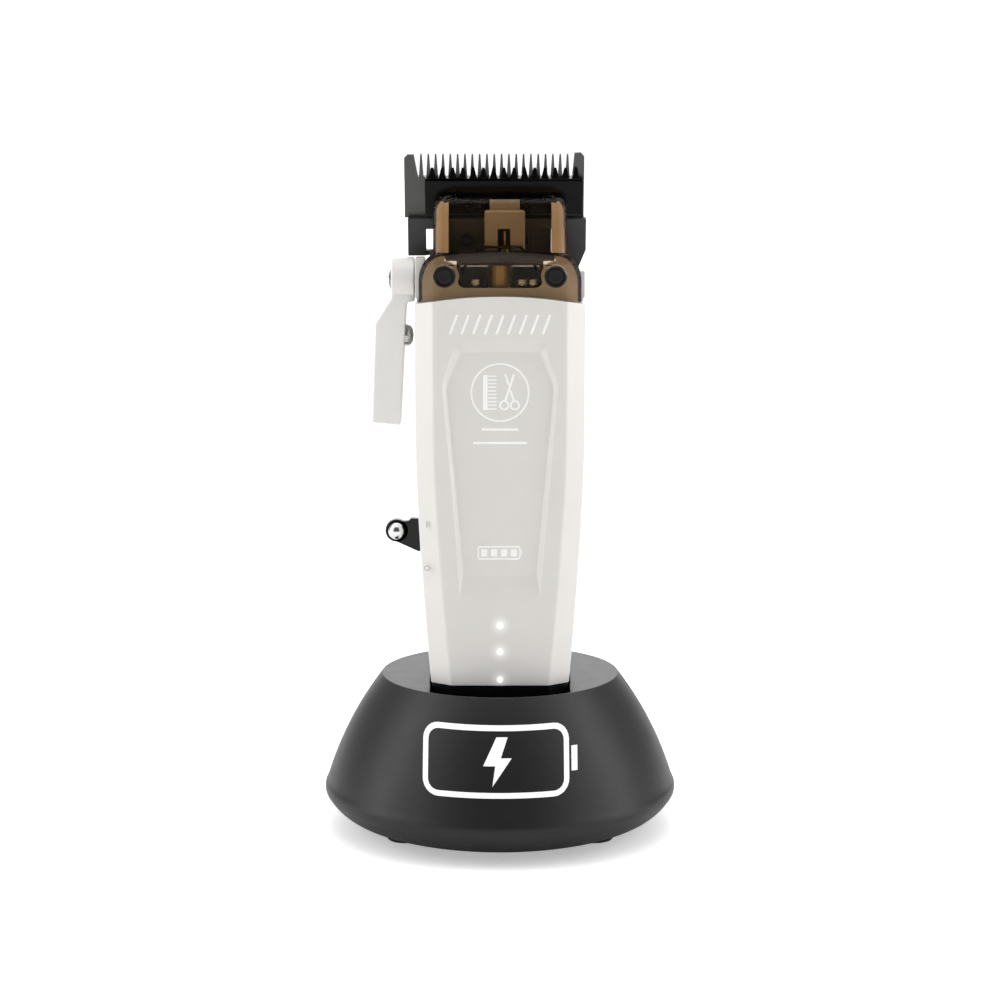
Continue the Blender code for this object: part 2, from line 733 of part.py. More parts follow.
def blade_rod(name, x, radius, front, back, mat=None, steps=16, centre_z=None):
    """A round bar square to the blade."""
    middle = BLADE_SCREW_Z if centre_z is None else centre_z
    rings = []
    for y in (front, back):
        rings.append([leaning((a, y, b)) for a, b in circle(x, middle, radius, steps)])
    return smooth(loft(name, rings, mat))


def make_blade_screws(taper):
    for side, name in ((-1, "blade_screw_left"), (1, "blade_screw_right")):
        x = side * BLADE_SCREW_X
        screw = blade_rod(name, x, 2.6, 2.7, 4.1, bright_steel())
        boolean(screw, blade_rod(f"join_{name}", x, 1.2, -2.6, 3.0), "UNION")
        boolean(screw, blade_rod(f"cut_{name}", x, 1.3, 3.4, 5.0, steps=6))
        place_under(screw, taper)


def make_taper_carrier(taper):
    """Carrier that the fixed blade is screwed to, with an ear at each side and a slotted arm for the cam."""
    left, block, right = -22.0, -17.4, 23.35
    top, bar = -15.9, -18.6
    outline = [
        (right - 1.8, -28.4), (right, -24.0), (right, top), (left, top), (left, -25.5), (block, -25.5),
        (block, bar), (-10.0, bar), (-10.0, -25.5), (10.0, -25.5), (10.0, bar), (18.45, bar), (18.45, -28.4),
    ]
    carrier = leaning_prism("taper_carrier", outline, -0.3, -3.0, dark_plastic())
    foot = [(-21.0, -24.2), (-21.0, -25.4), (-15.5, -25.4), (-15.5, -24.2)]
    boolean(carrier, leaning_prism("join_carrier_foot", foot, -0.6, -2.8), "UNION")
    arm = [(-1.4, 150.6), (-3.4, 150.9), (-8.3, 147.2), (-8.3, 141.4), (-3.2, 141.4), (-1.4, 146.0)]
    boolean(carrier, prism("join_carrier_arm", arm, "X", -17.9, -16.9), "UNION")
    boolean(carrier, box("cut_cam_slot", (-19.0, -7.5, 143.3), (-16.0, -4.4, 146.1)))
    for side in (-1, 1):
        boolean(carrier, blade_rod(f"cut_thread_{side}", side * BLADE_SCREW_X, 1.5, -4.0, 1.0))
    place_under(carrier, taper)


def make_cutter(cutter):
    """Moving blade with its raised rib."""
    shift = CUTTER_X - BLADE_X
    first = shift - CUTTER_PITCH * (CUTTER_COUNT - 1) / 2
    edge_right, edge_left = shift + CUTTER_HALF, shift - CUTTER_HALF
    teeth = comb(first, CUTTER_PITCH, CUTTER_COUNT, TOOTH_ROOT, CUTTER_TIP, 0.95, 0.3)
    outline = [(edge_right, -15.0), (edge_right, TOOTH_ROOT)] + teeth
    outline += [(edge_left, TOOTH_ROOT), (edge_left, -15.0)]
    blade = leaning_prism("cutter_blade", outline, -0.3, -2.0, blade_steel(), TOOTH_ROOT, -0.3, 0.3)
    rib = [(edge_left, -6.3), (edge_left, -10.3), (edge_right, -10.3), (edge_right, -6.3)]
    boolean(blade, leaning_prism("join_cutter_rib", rib, -1.0, -3.2), "UNION")
    place_under(blade, cutter)


def make_drive_yoke(cutter):
    """Block on the moving blade with the pocket that the crank pin runs in."""
    yoke = box("drive_yoke", (-3.9, -11.1, 150.9), (6.3, -5.7, 161.0), copper_brown())
    rounded(yoke, 0.4)
    boolean(yoke, box("join_yoke_tab", (-2.6, -7.9, 159.5), (5.0, -6.1, 162.9)), "UNION")
    boolean(yoke, box("cut_yoke_pocket", (-2.55, -9.95, 148.0), (4.95, -4.0, 157.2)))
    boolean(yoke, box("cut_yoke_notch", (-0.6, -13.0, 148.0), (2.6, -9.0, 156.4)))
    place_under(yoke, cutter)


# ---------------------------------------------------------------- taper lever

def make_taper_lever(lever):
    hub = rod("taper_lever", (LEVER_Y, LEVER_Z), LEVER_R, "X", LEVER_OUT, LEVER_IN, ivory_enamel(), steps=28)
    rounded(hub, 0.5, 2)
    outline = [
        (-27.3, 142.0), (-27.5, 139.0), (-31.6, 132.6), (-32.6, 107.5), (-25.3, 106.8), (-24.3, 126.7),
        (-23.7, 137.4), (-22.2, 139.0), (-22.2, 142.0),
    ]
    arm = prism("join_lever_arm", outline, "Y", LEVER_Y - 4.5, LEVER_Y + 4.5)
    rounded(arm, 0.5, 2, 25.0)
    boolean(hub, arm, "UNION")
    boolean(hub, rod("cut_lever_bore", (LEVER_Y, LEVER_Z), 2.9, "X", -30.0, -19.0))
    boolean(hub, rod("cut_detent_bore", (LEVER_Y, DETENT_Z), 3.1, "X", -29.2, -20.0))
    place_under(hub, lever)
    smooth(hub, 30.0)


def make_lever_pivot(lever):
    """Spindle through the body's cheek, with the cam pin that shifts the blade carrier."""
    end = rod("lever_pivot", (LEVER_Y, LEVER_Z), 2.6, "X", -27.3, -18.5, bright_steel())
    boolean(end, rod("join_cam_disc", (LEVER_Y, LEVER_Z), 3.3, "X", -18.8, -18.2), "UNION")
    pin = (LEVER_Y + CAM_RADIUS * math.cos(CAM_ANGLE), LEVER_Z + CAM_RADIUS * math.sin(CAM_ANGLE))
    boolean(end, rod("join_cam_pin", pin, 0.8, "X", -18.5, -16.8, steps=12), "UNION")
    boolean(end, rod("cut_pivot_bore", (LEVER_Y, LEVER_Z), 1.3, "X", -30.0, -22.0, steps=12))
    place_under(end, lever)


def make_lever_screw(lever):
    dome = [(0.0, 0.75), (1.3, 0.62), (2.2, 0.32), (2.8, 0.0), (2.8, -0.25)]
    shank = [(1.0, -0.25), (1.0, -4.8), (0.0, -4.8)]
    screw = turned("lever_screw", dome + shank, chrome(), None, 20)
    screw.data.transform(Matrix.Rotation(math.radians(-90), 4, "Y"))
    screw.data.transform(Matrix.Translation(Vector((LEVER_OUT - 0.15, LEVER_Y, LEVER_Z)) * MM))
    low, high = (-29.0, LEVER_Y - 1.7, LEVER_Z - 0.3), (-28.0, LEVER_Y + 1.7, LEVER_Z + 0.3)
    boolean(screw, box("cut_lever_screw", low, high))
    place_under(screw, lever)


def make_detent(detent):
    """Sprung plunger that clicks along the body's side."""
    profile = [(0.0, 0.0), (1.6, -0.25), (2.5, -0.8), (2.8, -1.5), (2.8, -5.6), (0.0, -5.6)]
    plunger = turned("detent_plunger", profile, bright_steel(), None, 20)
    plunger.data.transform(Matrix.Rotation(math.radians(90), 4, "Y"))
    plunger.data.transform(Matrix.Translation(Vector((-21.95, LEVER_Y, DETENT_Z)) * MM))
    place_under(plunger, detent)


# ---------------------------------------------------------------- power switch

def make_switch(switch):
    """Rocking arm that ends in a cup with a polished ball set into its front."""
    outline = [
        (-16.9, 77.0), (-16.9, 79.8), (-19.4, 82.3), (-21.0, 82.6), (-22.8, 82.7), (-23.3, 82.1),
        (-24.4, 81.9), (-26.0, 82.2), (-26.5, 79.5), (-27.4, 77.0), (-21.0, 74.1), (-19.4, 74.4),
    ]
    low, high = SWITCH_Y - 1.3, SWITCH_Y + 1.3
    arm = prism("switch_arm", outline, "Y", low, high, dark_plastic())
    boolean(arm, rod("join_cup", (BALL_X, BALL_Z), CUP_R, "Y", low, high, steps=32), "UNION")
    boolean(arm, sphere("cut_ball_seat", (BALL_X, BALL_Y, BALL_Z), BALL_R + GAP, 24, 14))
    place_under(arm, switch)
    ball = sphere("switch_ball", (BALL_X, BALL_Y, BALL_Z), BALL_R, 24, 16)
    ball.data.materials.append(chrome())
    place_under(smooth(ball, 60.0), switch)


# ---------------------------------------------------------------- stand

def stand_profile():
    """Outer profile from the rim down to the bottom edge."""
    flank = arc((RIM_R, RIM_Z), (WIDE_R - 0.6, WIDE_Z + 2.2), -1.45, 6)
    edge = arc((WIDE_R - 0.6, WIDE_Z + 2.2), (WIDE_R - 0.8, WIDE_Z - 2.0), -0.75, 3)
    lower = arc((WIDE_R - 0.8, WIDE_Z - 2.0), (FOOT_R, SHELL_BOTTOM), -1.0, 3)
    return flank + edge[1:] + lower[1:]


def inward(points, distance):
    """The profile moved towards the axis, square to itself."""
    moved = []
    for i, point in enumerate(points):
        before = Vector(points[max(i - 1, 0)])
        after = Vector(points[min(i + 1, len(points) - 1)])
        way = (after - before).normalized()
        moved.append((point[0] + way.y * distance, point[1] - way.x * distance))
    return moved


def pocket_outline(grow, front, corner, width=POCKET_HALF):
    """Plan of the socket: bulged sides, round back corners, and a front at a given y."""
    half = width + grow
    back = POCKET_BACK + grow
    round_back = 6.0
    side = arc((half, front + corner), (half, back - round_back), POCKET_BULGE, 4)
    points = []
    for i in range(5):
        turn = math.radians(270 + 90 * i / 4)
        if i < 4:
            points.append((half - corner + corner * math.cos(turn), front + corner + corner * math.sin(turn)))
    points += side
    for i in range(1, 4):
        turn = math.radians(90 * i / 4)
        points.append((half - round_back * (1 - math.cos(turn)), back - round_back * (1 - math.sin(turn))))
    points.append((half - round_back, back))
    return points + [(-x, y) for x, y in reversed(points)]


def mouth_outline():
    """The opening in the stand's top, whose front follows the rim."""
    reach = RIM_R - 0.5
    start = math.asin(MOUTH_HALF / reach)
    front = []
    for i in range(7):
        turn = start * (1 - i / 3)
        front.append((-reach * math.sin(turn), -reach * math.cos(turn)))
    rest = [p for p in pocket_outline(0.0, POCKET_FRONT, 4.0, MOUTH_HALF) if p[1] > -19.0]
    right = [p for p in rest if p[0] > 0]
    left = [p for p in rest if p[0] < 0]
    return front + right + left


def make_stand_shell():
    outer = stand_profile()
    inner = inward(outer, STAND_WALL)
    inner[0] = (inner[0][0], RIM_Z - STAND_WALL)
    inner[-1] = (FOOT_R - 2.2, SHELL_BOTTOM)
    profile = [(0.0, RIM_Z)] + outer + inner[::-1] + [(0.0, RIM_Z - STAND_WALL)]
    shell = turned("stand_shell", profile, stand_black(), None, STAND_STEPS)
    boolean(shell, prism("cut_mouth", mouth_outline(), "Z", 34.0, 45.0))
    slot = rounded_rectangle((-4.9, INLET_Z - 2.0), (4.9, INLET_Z + 2.0), 1.95, 4)
    boolean(shell, prism("cut_inlet", slot, "Y", 38.0, 50.0))
    return shell


def make_socket_liner():
    wall = 1.4
    outer = pocket_outline(wall, POCKET_FRONT - wall, 5.5)
    liner = prism("socket_liner", outer, "Z", POCKET_FLOOR - 1.6, POCKET_LINER_TOP, dark_plastic())
    inner = pocket_outline(0.0, POCKET_FRONT, 4.1)
    boolean(liner, prism("cut_liner", inner, "Z", POCKET_FLOOR, POCKET_LINER_TOP + 2.0))
    for side in (-1, 1):
        place = (side * CONTACT_X, CONTACT_Y)
        boolean(liner, rod(f"cut_pin_hole_{side}", place, 1.6, "Z", 12.0, 18.0, steps=14))
    return liner


def make_stand_base():
    plate_r = FOOT_R - 2.5
    disc = [(0.0, 4.4), (plate_r, 4.4), (plate_r, 2.2), (0.0, 2.2)]
    plate = turned("stand_base_plate", disc, dark_plastic(), steps=40)
    ring = [(36.0, 9.4), (36.0, 4.8), (6.0, 4.8), (6.0, 9.4)]
    weight = turned("stand_weight", ring, bright_steel(), steps=40)
    for index in range(1, 4):
        turn = math.radians(120 * index - 30)
        centre = (BASE_SCREW_CIRCLE * math.cos(turn), BASE_SCREW_CIRCLE * math.sin(turn))
        boolean(plate, rod(f"cut_base_head_{index}", centre, 3.0, "Z", 1.0, 3.8, steps=16))
        boolean(plate, rod(f"cut_base_hole_{index}", centre, 1.7, "Z", 3.0, 6.0, steps=12))
        boolean(weight, rod(f"cut_weight_hole_{index}", centre, 1.7, "Z", 3.0, 12.0, steps=12))
        screw = rod(f"base_screw_{index}", centre, 2.6, "Z", 2.5, 3.5, bright_steel(), steps=14)
        boolean(screw, rod(f"join_base_screw_{index}", centre, 1.4, "Z", 3.2, 8.6, steps=12), "UNION")
        boolean(screw, prism(f"cut_base_screw_{index}", circle(*centre, 1.3, 6), "Z", 1.5, 3.0))
    for index, angle in enumerate(FOOT_ANGLES, start=1):
        turn = math.radians(angle)
        centre = (FOOT_CIRCLE * math.cos(turn), FOOT_CIRCLE * math.sin(turn))
        foot = [(0.0, 1.9), (5.0, 1.9), (5.0, 0.4), (4.6, 0.0), (0.0, 0.0)]
        turned(f"rubber_foot_{index}", foot, rubber(), None, 20, centre)


def make_stand_electrics():
    box("stand_circuit_board", (-17.0, -14.0, 10.2), (17.0, 37.0, 11.6), board_green())
    block = box("pin_block", (-10.0, -8.0, 11.9), (10.0, 0.0, 14.5), dark_plastic())
    for side in (-1, 1):
        place = (side * CONTACT_X, CONTACT_Y)
        boolean(block, rod(f"cut_block_{side}", place, 1.5, "Z", 10.0, 16.0, steps=14))
    section = rounded_rectangle((-4.5, INLET_Z - 1.6), (4.5, INLET_Z + 1.6), 1.55, 4)
    inlet = prism("charging_inlet", section, "Y", 33.0, 44.7, bright_steel())
    hollow = rounded_rectangle((-4.1, INLET_Z - 1.2), (4.1, INLET_Z + 1.2), 1.15, 4)
    boolean(inlet, prism("cut_inlet_hollow", hollow, "Y", 37.0, 47.0))
    tongue = box("join_inlet_tongue", (-3.2, 36.0, INLET_Z - 0.35), (3.2, 43.8, INLET_Z + 0.35))
    boolean(inlet, tongue, "UNION")


def make_charge_pin(name, side, parent):
    profile = [(0.0, PIN_TOP), (0.6, PIN_TOP - 0.15), (1.1, PIN_TOP - 0.7), (1.1, 13.1), (0.0, 13.1)]
    turned(name, profile, brass(), parent, 16, (side * CONTACT_X, CONTACT_Y))


# ---------------------------------------------------------------- assembly

def clear_scene():
    for old in list(bpy.data.objects):
        bpy.data.objects.remove(old, do_unlink=True)


def make_stand():
    make_stand_shell()
    make_socket_liner()
    make_stand_base()
    make_stand_electrics()
    for side, name in ((-1, "charge_pin_left"), (1, "charge_pin_right")):
        axis = pivot(f"axis_{name}", (side * CONTACT_X, CONTACT_Y, PIN_TOP))
        make_charge_pin(name, side, axis)


def make_clipper():
    clipper = pivot("axis_clipper", (0.0, 0.0, CAP_BOTTOM))
    make_front_shell(clipper)
    make_rear_shell(clipper)
    make_shell_screws(clipper)
    make_end_cap(clipper)
    make_contacts(clipper)
    make_head_cover(clipper)
    make_cover_screws(clipper)
    make_head_frame(clipper)
    make_chassis(clipper)
    make_post_screws(clipper)
    make_motor(clipper)
    make_power(clipper)
    make_tension_spring(clipper)
    make_rotor(pivot("axis_rotor", (0.0, DRIVE_Y, 110.0), parent=clipper))
    cutter = pivot("axis_cutter", (CUTTER_X, BLADE_Y, 165.0), parent=clipper)
    make_cutter(cutter)
    make_drive_yoke(cutter)
    taper = pivot("axis_taper", (BLADE_X, BLADE_Y, TIP_Z), (BLADE_LEAN, 0.0, 0.0), clipper)
    make_fixed_blade(taper)
    make_blade_screws(taper)
    make_taper_carrier(taper)
    lever = pivot("axis_lever", (LEVER_IN, LEVER_Y, LEVER_Z), parent=clipper)
    make_taper_lever(lever)
    make_lever_pivot(lever)
    make_lever_screw(lever)
    make_detent(pivot("axis_detent", (-24.0, LEVER_Y, DETENT_Z), parent=lever))
    make_switch(pivot("axis_switch", (SWITCH_X, SWITCH_Y, SWITCH_Z), parent=clipper))


clear_scene()
make_stand()
make_clipper()
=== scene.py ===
"""Looks of a cordless hair clipper in its round charging stand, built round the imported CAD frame.

Design sizes are in millimetres and become metres where a mesh is made. Places come from the CAD nodes.
"""

import json
import math

import bmesh
import bpy
from mathutils import Matrix, Vector


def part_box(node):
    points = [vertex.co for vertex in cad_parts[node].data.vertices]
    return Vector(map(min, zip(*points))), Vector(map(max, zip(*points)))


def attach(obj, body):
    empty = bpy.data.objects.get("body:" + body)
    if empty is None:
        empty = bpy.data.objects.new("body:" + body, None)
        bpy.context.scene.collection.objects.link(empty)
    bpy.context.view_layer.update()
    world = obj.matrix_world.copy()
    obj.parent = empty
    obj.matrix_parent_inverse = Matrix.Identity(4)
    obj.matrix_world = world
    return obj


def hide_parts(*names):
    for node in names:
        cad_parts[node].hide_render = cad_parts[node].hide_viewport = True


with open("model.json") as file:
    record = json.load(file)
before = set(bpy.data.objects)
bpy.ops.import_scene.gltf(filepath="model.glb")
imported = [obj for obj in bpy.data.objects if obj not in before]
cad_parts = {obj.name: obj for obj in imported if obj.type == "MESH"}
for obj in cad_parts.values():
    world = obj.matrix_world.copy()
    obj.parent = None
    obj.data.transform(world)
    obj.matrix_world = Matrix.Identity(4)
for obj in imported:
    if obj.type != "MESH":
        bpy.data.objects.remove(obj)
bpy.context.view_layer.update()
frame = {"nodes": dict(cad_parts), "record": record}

MM = 0.001


def low_mm(node):
    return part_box(node)[0] / MM


def high_mm(node):
    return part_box(node)[1] / MM


def middle_mm(node):
    return (low_mm(node) + high_mm(node)) / 2


def body_of(node):
    """The CAD body that a node belongs to."""
    for body, members in frame["record"]["behaviour"]["bodies"].items():
        if node in members:
            return body
    raise KeyError(node)


def slot_of(node):
    for row in frame["record"]["subparts"]:
        if row["node"] == node:
            return row["material_slot"]
    raise KeyError(node)


# ---------------------------------------------------------------- materials

# Range of a noise value in which nearly all of it lies
NOISE_LOW, NOISE_HIGH = 0.3, 0.7

IVORY = (0.81, 0.785, 0.75)
FINE_STROKES = (1, 18, 18)

# Reach in mm and strength of the light that the three dots throw on the enamel, and of their own middles
DOT_HALO = (0.4, 3.3, 0.32)
DOT_CORE = (0.3, 1.3, 1.2)


def combined(nodes, links, operation, *values):
    """A math node's output. Each value is a number or another node's output."""
    node = nodes.new("ShaderNodeMath")
    node.operation = operation
    for socket, value in zip(node.inputs, values):
        if isinstance(value, (int, float)):
            socket.default_value = value
        else:
            links.new(value, socket)
    return node.outputs[0]


class Graph:
    """A material's node tree with short calls for what every finish here needs."""

    def __init__(self, name):
        self.material = bpy.data.materials.new(name)
        self.material.use_nodes = True
        self.nodes = self.material.node_tree.nodes
        self.links = self.material.node_tree.links
        self.shader = self.nodes["Principled BSDF"]
        self.coordinates = self.nodes.new("ShaderNodeTexCoord").outputs["Object"]

    def set(self, **values):
        for name, value in values.items():
            self.shader.inputs[name.replace("_", " ")].default_value = value
        return self

    def plug(self, output, name):
        self.links.new(output, self.shader.inputs[name])

    def stretched(self, scale):
        """Object coordinates in metres, scaled by axis."""
        mapping = self.nodes.new("ShaderNodeMapping")
        mapping.inputs["Scale"].default_value = scale
        self.links.new(self.coordinates, mapping.inputs["Vector"])
        return mapping.outputs["Vector"]

    def noise(self, size_mm, detail, stretch=(1.0, 1.0, 1.0)):
        """Noise whose blotches are about this size, from 0 to 1."""
        texture = self.nodes.new("ShaderNodeTexNoise")
        texture.inputs["Scale"].default_value = 1.0 / (size_mm * MM)
        texture.inputs["Detail"].default_value = detail
        texture.inputs["Roughness"].default_value = 0.5
        self.links.new(self.stretched(stretch), texture.inputs["Vector"])
        return texture.outputs["Fac"]

    def remap(self, value, low, high, from_low=NOISE_LOW, from_high=NOISE_HIGH):
        node = self.nodes.new("ShaderNodeMapRange")
        node.inputs["From Min"].default_value = from_low
        node.inputs["From Max"].default_value = from_high
        node.inputs["To Min"].default_value = low
        node.inputs["To Max"].default_value = high
        self.links.new(value, node.inputs["Value"])
        return node.outputs["Result"]

    def between(self, value, first, second):
        """A colour that runs from the first to the second with a noise value."""
        ramp = self.nodes.new("ShaderNodeValToRGB")
        ends = ramp.color_ramp.elements
        for end, place, colour in zip(ends, (NOISE_LOW, NOISE_HIGH), (first, second)):
            end.position = place
            end.color = (*colour, 1.0)
        self.links.new(value, ramp.inputs["Fac"])
        return ramp.outputs["Color"]

    def combine(self, operation, *values):
        return combined(self.nodes, self.links, operation, *values)

    def bump(self, height, depth_mm):
        node = self.nodes.new("ShaderNodeBump")
        node.inputs["Distance"].default_value = depth_mm * MM
        node.inputs["Strength"].default_value = 1.0
        self.links.new(height, node.inputs["Height"])
        return node.outputs["Normal"]


def shaded(colour, factor):
    return tuple(min(channel * factor, 1.0) for channel in colour)


def finish(
    name, colour, rough, metallic=0.0, vary=0.06, grain_mm=0.35, grain_depth=0.01,
    stretch=(1.0, 1.0, 1.0), rough_vary=0.05, coat=0.0, specular=0.5,
):
    """A surface with blotchy colour, uneven gloss and a fine grain."""
    graph = Graph(name)
    graph.set(Metallic=metallic, Coat_Weight=coat, Coat_Roughness=0.08, Specular_IOR_Level=specular)
    blotches = graph.noise(9.0, 4.0)
    graph.plug(graph.between(blotches, shaded(colour, 1 - vary), shaded(colour, 1 + vary)), "Base Color")
    smears = graph.noise(4.0, 5.0, stretch)
    graph.plug(graph.remap(smears, rough - rough_vary, rough + rough_vary), "Roughness")
    grain = graph.noise(grain_mm, 2.0, stretch)
    graph.plug(graph.bump(grain, grain_depth), "Normal")
    return graph


def dot_glow(graph, near_mm, far_mm, strength):
    """Light that falls off round the three light dots."""
    total = None
    for index in (1, 2, 3):
        reach = graph.nodes.new("ShaderNodeVectorMath")
        reach.operation = "DISTANCE"
        graph.links.new(graph.coordinates, reach.inputs[0])
        dot = middle_mm(f"led_lens_{index}")
        reach.inputs[1].default_value = Vector((dot.x, low_mm(f"led_lens_{index}").y, dot.z)) * MM
        near = graph.remap(reach.outputs["Value"], 1.0, 0.0, near_mm * MM, far_mm * MM)
        near = graph.combine("MULTIPLY", graph.combine("POWER", near, 2.0), strength)
        total = near if total is None else graph.combine("ADD", total, near)
    return total


def ivory_enamel():
    """Powder enamel with orange peel, and the glow that the light dots throw on it."""
    graph = finish(
        "ivory_enamel", IVORY, 0.36,
        vary=0.012, grain_mm=0.9, grain_depth=0.006, rough_vary=0.04, coat=0.25,
    )
    graph.plug(dot_glow(graph, *DOT_HALO), "Emission Strength")
    graph.set(Emission_Color=(1.0, 0.99, 0.95, 1.0))
    return graph.material


# Finish: name, colour, roughness, metallic, then what differs from a plain one. Most are named after a slot
PLAIN_FINISHES = {
    "stand_black": (
        "satin_charcoal", (0.0135, 0.0135, 0.014), 0.40, 0.0,
        {"specular": 0.36, "grain_mm": 0.22, "grain_depth": 0.008, "vary": 0.03, "rough_vary": 0.02},
    ),
    "dark_plastic": ("moulded_black", (0.008, 0.008, 0.0085), 0.42, 0.0, {"grain_mm": 0.3, "specular": 0.4}),
    "gloss_black": (
        "gloss_black", (0.004, 0.004, 0.004), 0.24, 0.0,
        {"grain_mm": 1.2, "grain_depth": 0.002, "specular": 0.35},
    ),
    "steel": ("machined_steel", (0.62, 0.62, 0.61), 0.28, 1.0, {"stretch": (1, 1, 14)}),
    "black_steel": ("black_oxide", (0.034, 0.034, 0.0345), 0.40, 0.0, {"specular": 0.45}),
    "blade_steel": (
        "blade_steel", (0.092, 0.091, 0.089), 0.34, 0.9,
        {"grain_mm": 0.5, "grain_depth": 0.003, "stretch": FINE_STROKES},
    ),
    "cutter_steel": (
        "cutter_steel", (0.003, 0.003, 0.003), 0.22, 0.0,
        {"grain_mm": 0.5, "grain_depth": 0.002, "stretch": FINE_STROKES, "specular": 0.13},
    ),
    "chrome": (
        "chrome", (0.80, 0.80, 0.81), 0.07, 1.0,
        {"vary": 0.01, "rough_vary": 0.02, "grain_depth": 0.0005},
    ),
    "screw_steel": ("screw_steel", (0.30, 0.30, 0.30), 0.22, 1.0, {}),
    "satin_silver": ("satin_silver", (0.55, 0.55, 0.54), 0.26, 1.0, {"vary": 0.03}),
    "brass": ("turned_brass", (0.50, 0.36, 0.16), 0.30, 1.0, {}),
    "copper": (
        "copper_wire", (0.62, 0.24, 0.10), 0.32, 1.0,
        {"grain_mm": 0.6, "grain_depth": 0.08, "stretch": (1, 1, 8)},
    ),
    "yoke_brown": ("yoke_cream", (0.52, 0.46, 0.37), 0.42, 0.0, {}),
    # The body's ivory enamel with its colour painted lighter, a painted highlight for the light that falls on
    # the lever's faces
    "lever_enamel_painted_lighter": (
        "lever_enamel_painted_lighter", (0.90, 0.88, 0.85), 0.34, 0.0,
        {"vary": 0.012, "grain_mm": 0.9, "grain_depth": 0.006, "coat": 0.25},
    ),
    "rail_cream": ("rail_cream", (0.80, 0.78, 0.72), 0.45, 0.0, {}),
    "rubber": ("rubber", (0.012, 0.012, 0.012), 0.72, 0.0, {"grain_mm": 0.4, "grain_depth": 0.03}),
    "circuit_board": (
        "solder_mask", (0.02, 0.12, 0.05), 0.38, 0.0,
        {"vary": 0.25, "grain_mm": 1.5, "grain_depth": 0.02},
    ),
    "battery_wrap": (
        "battery_wrap", (0.05, 0.12, 0.30), 0.30, 0.0,
        {"grain_mm": 3.0, "grain_depth": 0.02},
    ),
}

# Nodes whose look differs from their slot's usual one
OWN_LOOKS = {
    "cover_screw_left": "gloss_black",
    "cover_screw_right": "gloss_black",
    "cutter_blade": "cutter_steel",
    "lever_screw": "screw_steel",
    "taper_carrier": "black_steel",
    # The lever's enamel is a lighter copy of the body's, with painted light
    "taper_lever": "lever_enamel_painted_lighter",
    "tension_spring": "gloss_black",
}


def lens_white():
    """Frosted light guide: a bright middle that fades to its edge."""
    graph = finish("lens_white", IVORY, 0.4)
    total = graph.combine("ADD", dot_glow(graph, *DOT_HALO), dot_glow(graph, *DOT_CORE))
    graph.plug(total, "Emission Strength")
    graph.set(Emission_Color=(1.0, 0.99, 0.96, 1.0))
    return graph.material


# How fast the smoked plastic takes red, green and blue out of light, per mm, and the node's density
SMOKE_PER_MM = (0.40, 0.66, 1.04)
SMOKE_DENSITY = 1200.0


def smoked_clear():
    """Clear plastic that is brown in its depth, so that its edges look darker than its thin walls."""
    graph = finish(
        "smoked_clear", (0.97, 0.965, 0.955), 0.04,
        vary=0.03, rough_vary=0.015, grain_mm=2.5, grain_depth=0.002,
    )
    graph.set(Transmission_Weight=1.0, IOR=1.22)
    smoke = graph.nodes.new("ShaderNodeVolumeAbsorption")
    smoke.inputs["Color"].default_value = (*(1 - loss / MM / SMOKE_DENSITY for loss in SMOKE_PER_MM), 1.0)
    smoke.inputs["Density"].default_value = SMOKE_DENSITY
    graph.links.new(smoke.outputs["Volume"], graph.nodes["Material Output"].inputs["Volume"])
    return graph.material


FINISHES = {"ivory_enamel": ivory_enamel, "lens_white": lens_white, "smoked_clear": smoked_clear}


made_finishes = {}


def material_for(look):
    if look not in made_finishes:
        if look in FINISHES:
            made_finishes[look] = FINISHES[look]()
        else:
            name, colour, rough, metallic, more = PLAIN_FINISHES[look]
            made_finishes[look] = finish(name, colour, rough, metallic, **more).material
    return made_finishes[look]


def look_of(node):
    return material_for(OWN_LOOKS.get(node) or slot_of(node))


# ---------------------------------------------------------------- mesh tools

def linked(name, content):
    made = bpy.data.objects.new(name, content)
    bpy.context.scene.collection.objects.link(made)
    return made


def object_from(name, data):
    """Turns a bmesh drawn in millimetres into an object in metres."""
    bmesh.ops.recalc_face_normals(data, faces=data.faces)
    bmesh.ops.scale(data, vec=(MM, MM, MM), verts=data.verts)
    mesh = bpy.data.meshes.new(name)
    data.to_mesh(mesh)
    data.free()
    return linked(name, mesh)


def loft(name, rings):
    """Joins closed rings of equal length by quads and caps both ends."""
    data = bmesh.new()
    rows = [[data.verts.new(point) for point in ring] for ring in rings]
    count = len(rings[0])
    for low, high in zip(rows, rows[1:]):
        for i in range(count):
            j = (i + 1) % count
            data.faces.new((low[i], low[j], high[j], high[i]))
    data.faces.new(rows[0])
    data.faces.new(rows[-1])
    return object_from(name, data)


def along(axis, outline, offset):
    """Puts a flat outline into space, square to an axis, at an offset along it."""
    if axis == "X":
        return [(offset, a, b) for a, b in outline]
    if axis == "Y":
        return [(a, offset, b) for a, b in outline]
    return [(a, b, offset) for a, b in outline]


def prism(name, outline, axis, low, high):
    return loft(name, [along(axis, outline, low), along(axis, outline, high)])


def box(name, low, high):
    outline = [(low[0], low[1]), (high[0], low[1]), (high[0], high[1]), (low[0], high[1])]
    return prism(name, outline, "Z", low[2], high[2])


def circle(a, b, radius, steps):
    return [
        (a + radius * math.cos(math.tau * i / steps), b + radius * math.sin(math.tau * i / steps))
        for i in range(steps)
    ]


def rod(name, centre, radius, axis, low, high, steps=40):
    return prism(name, circle(*centre, radius, steps), axis, low, high)


def turned(name, profile, steps):
    """Turns a profile of (radius, height), which starts and ends on the axis, about it."""
    data = bmesh.new()
    verts = [data.verts.new((r, 0.0, z)) for r, z in profile]
    edges = [data.edges.new(pair) for pair in zip(verts, verts[1:])]
    bmesh.ops.spin(
        data, geom=verts + edges, cent=(0, 0, 0), axis=(0, 0, 1), dvec=(0, 0, 0),
        angle=math.tau, steps=steps, use_merge=True, use_duplicate=False,
    )
    bmesh.ops.remove_doubles(data, verts=data.verts, dist=1e-4)
    return object_from(name, data)


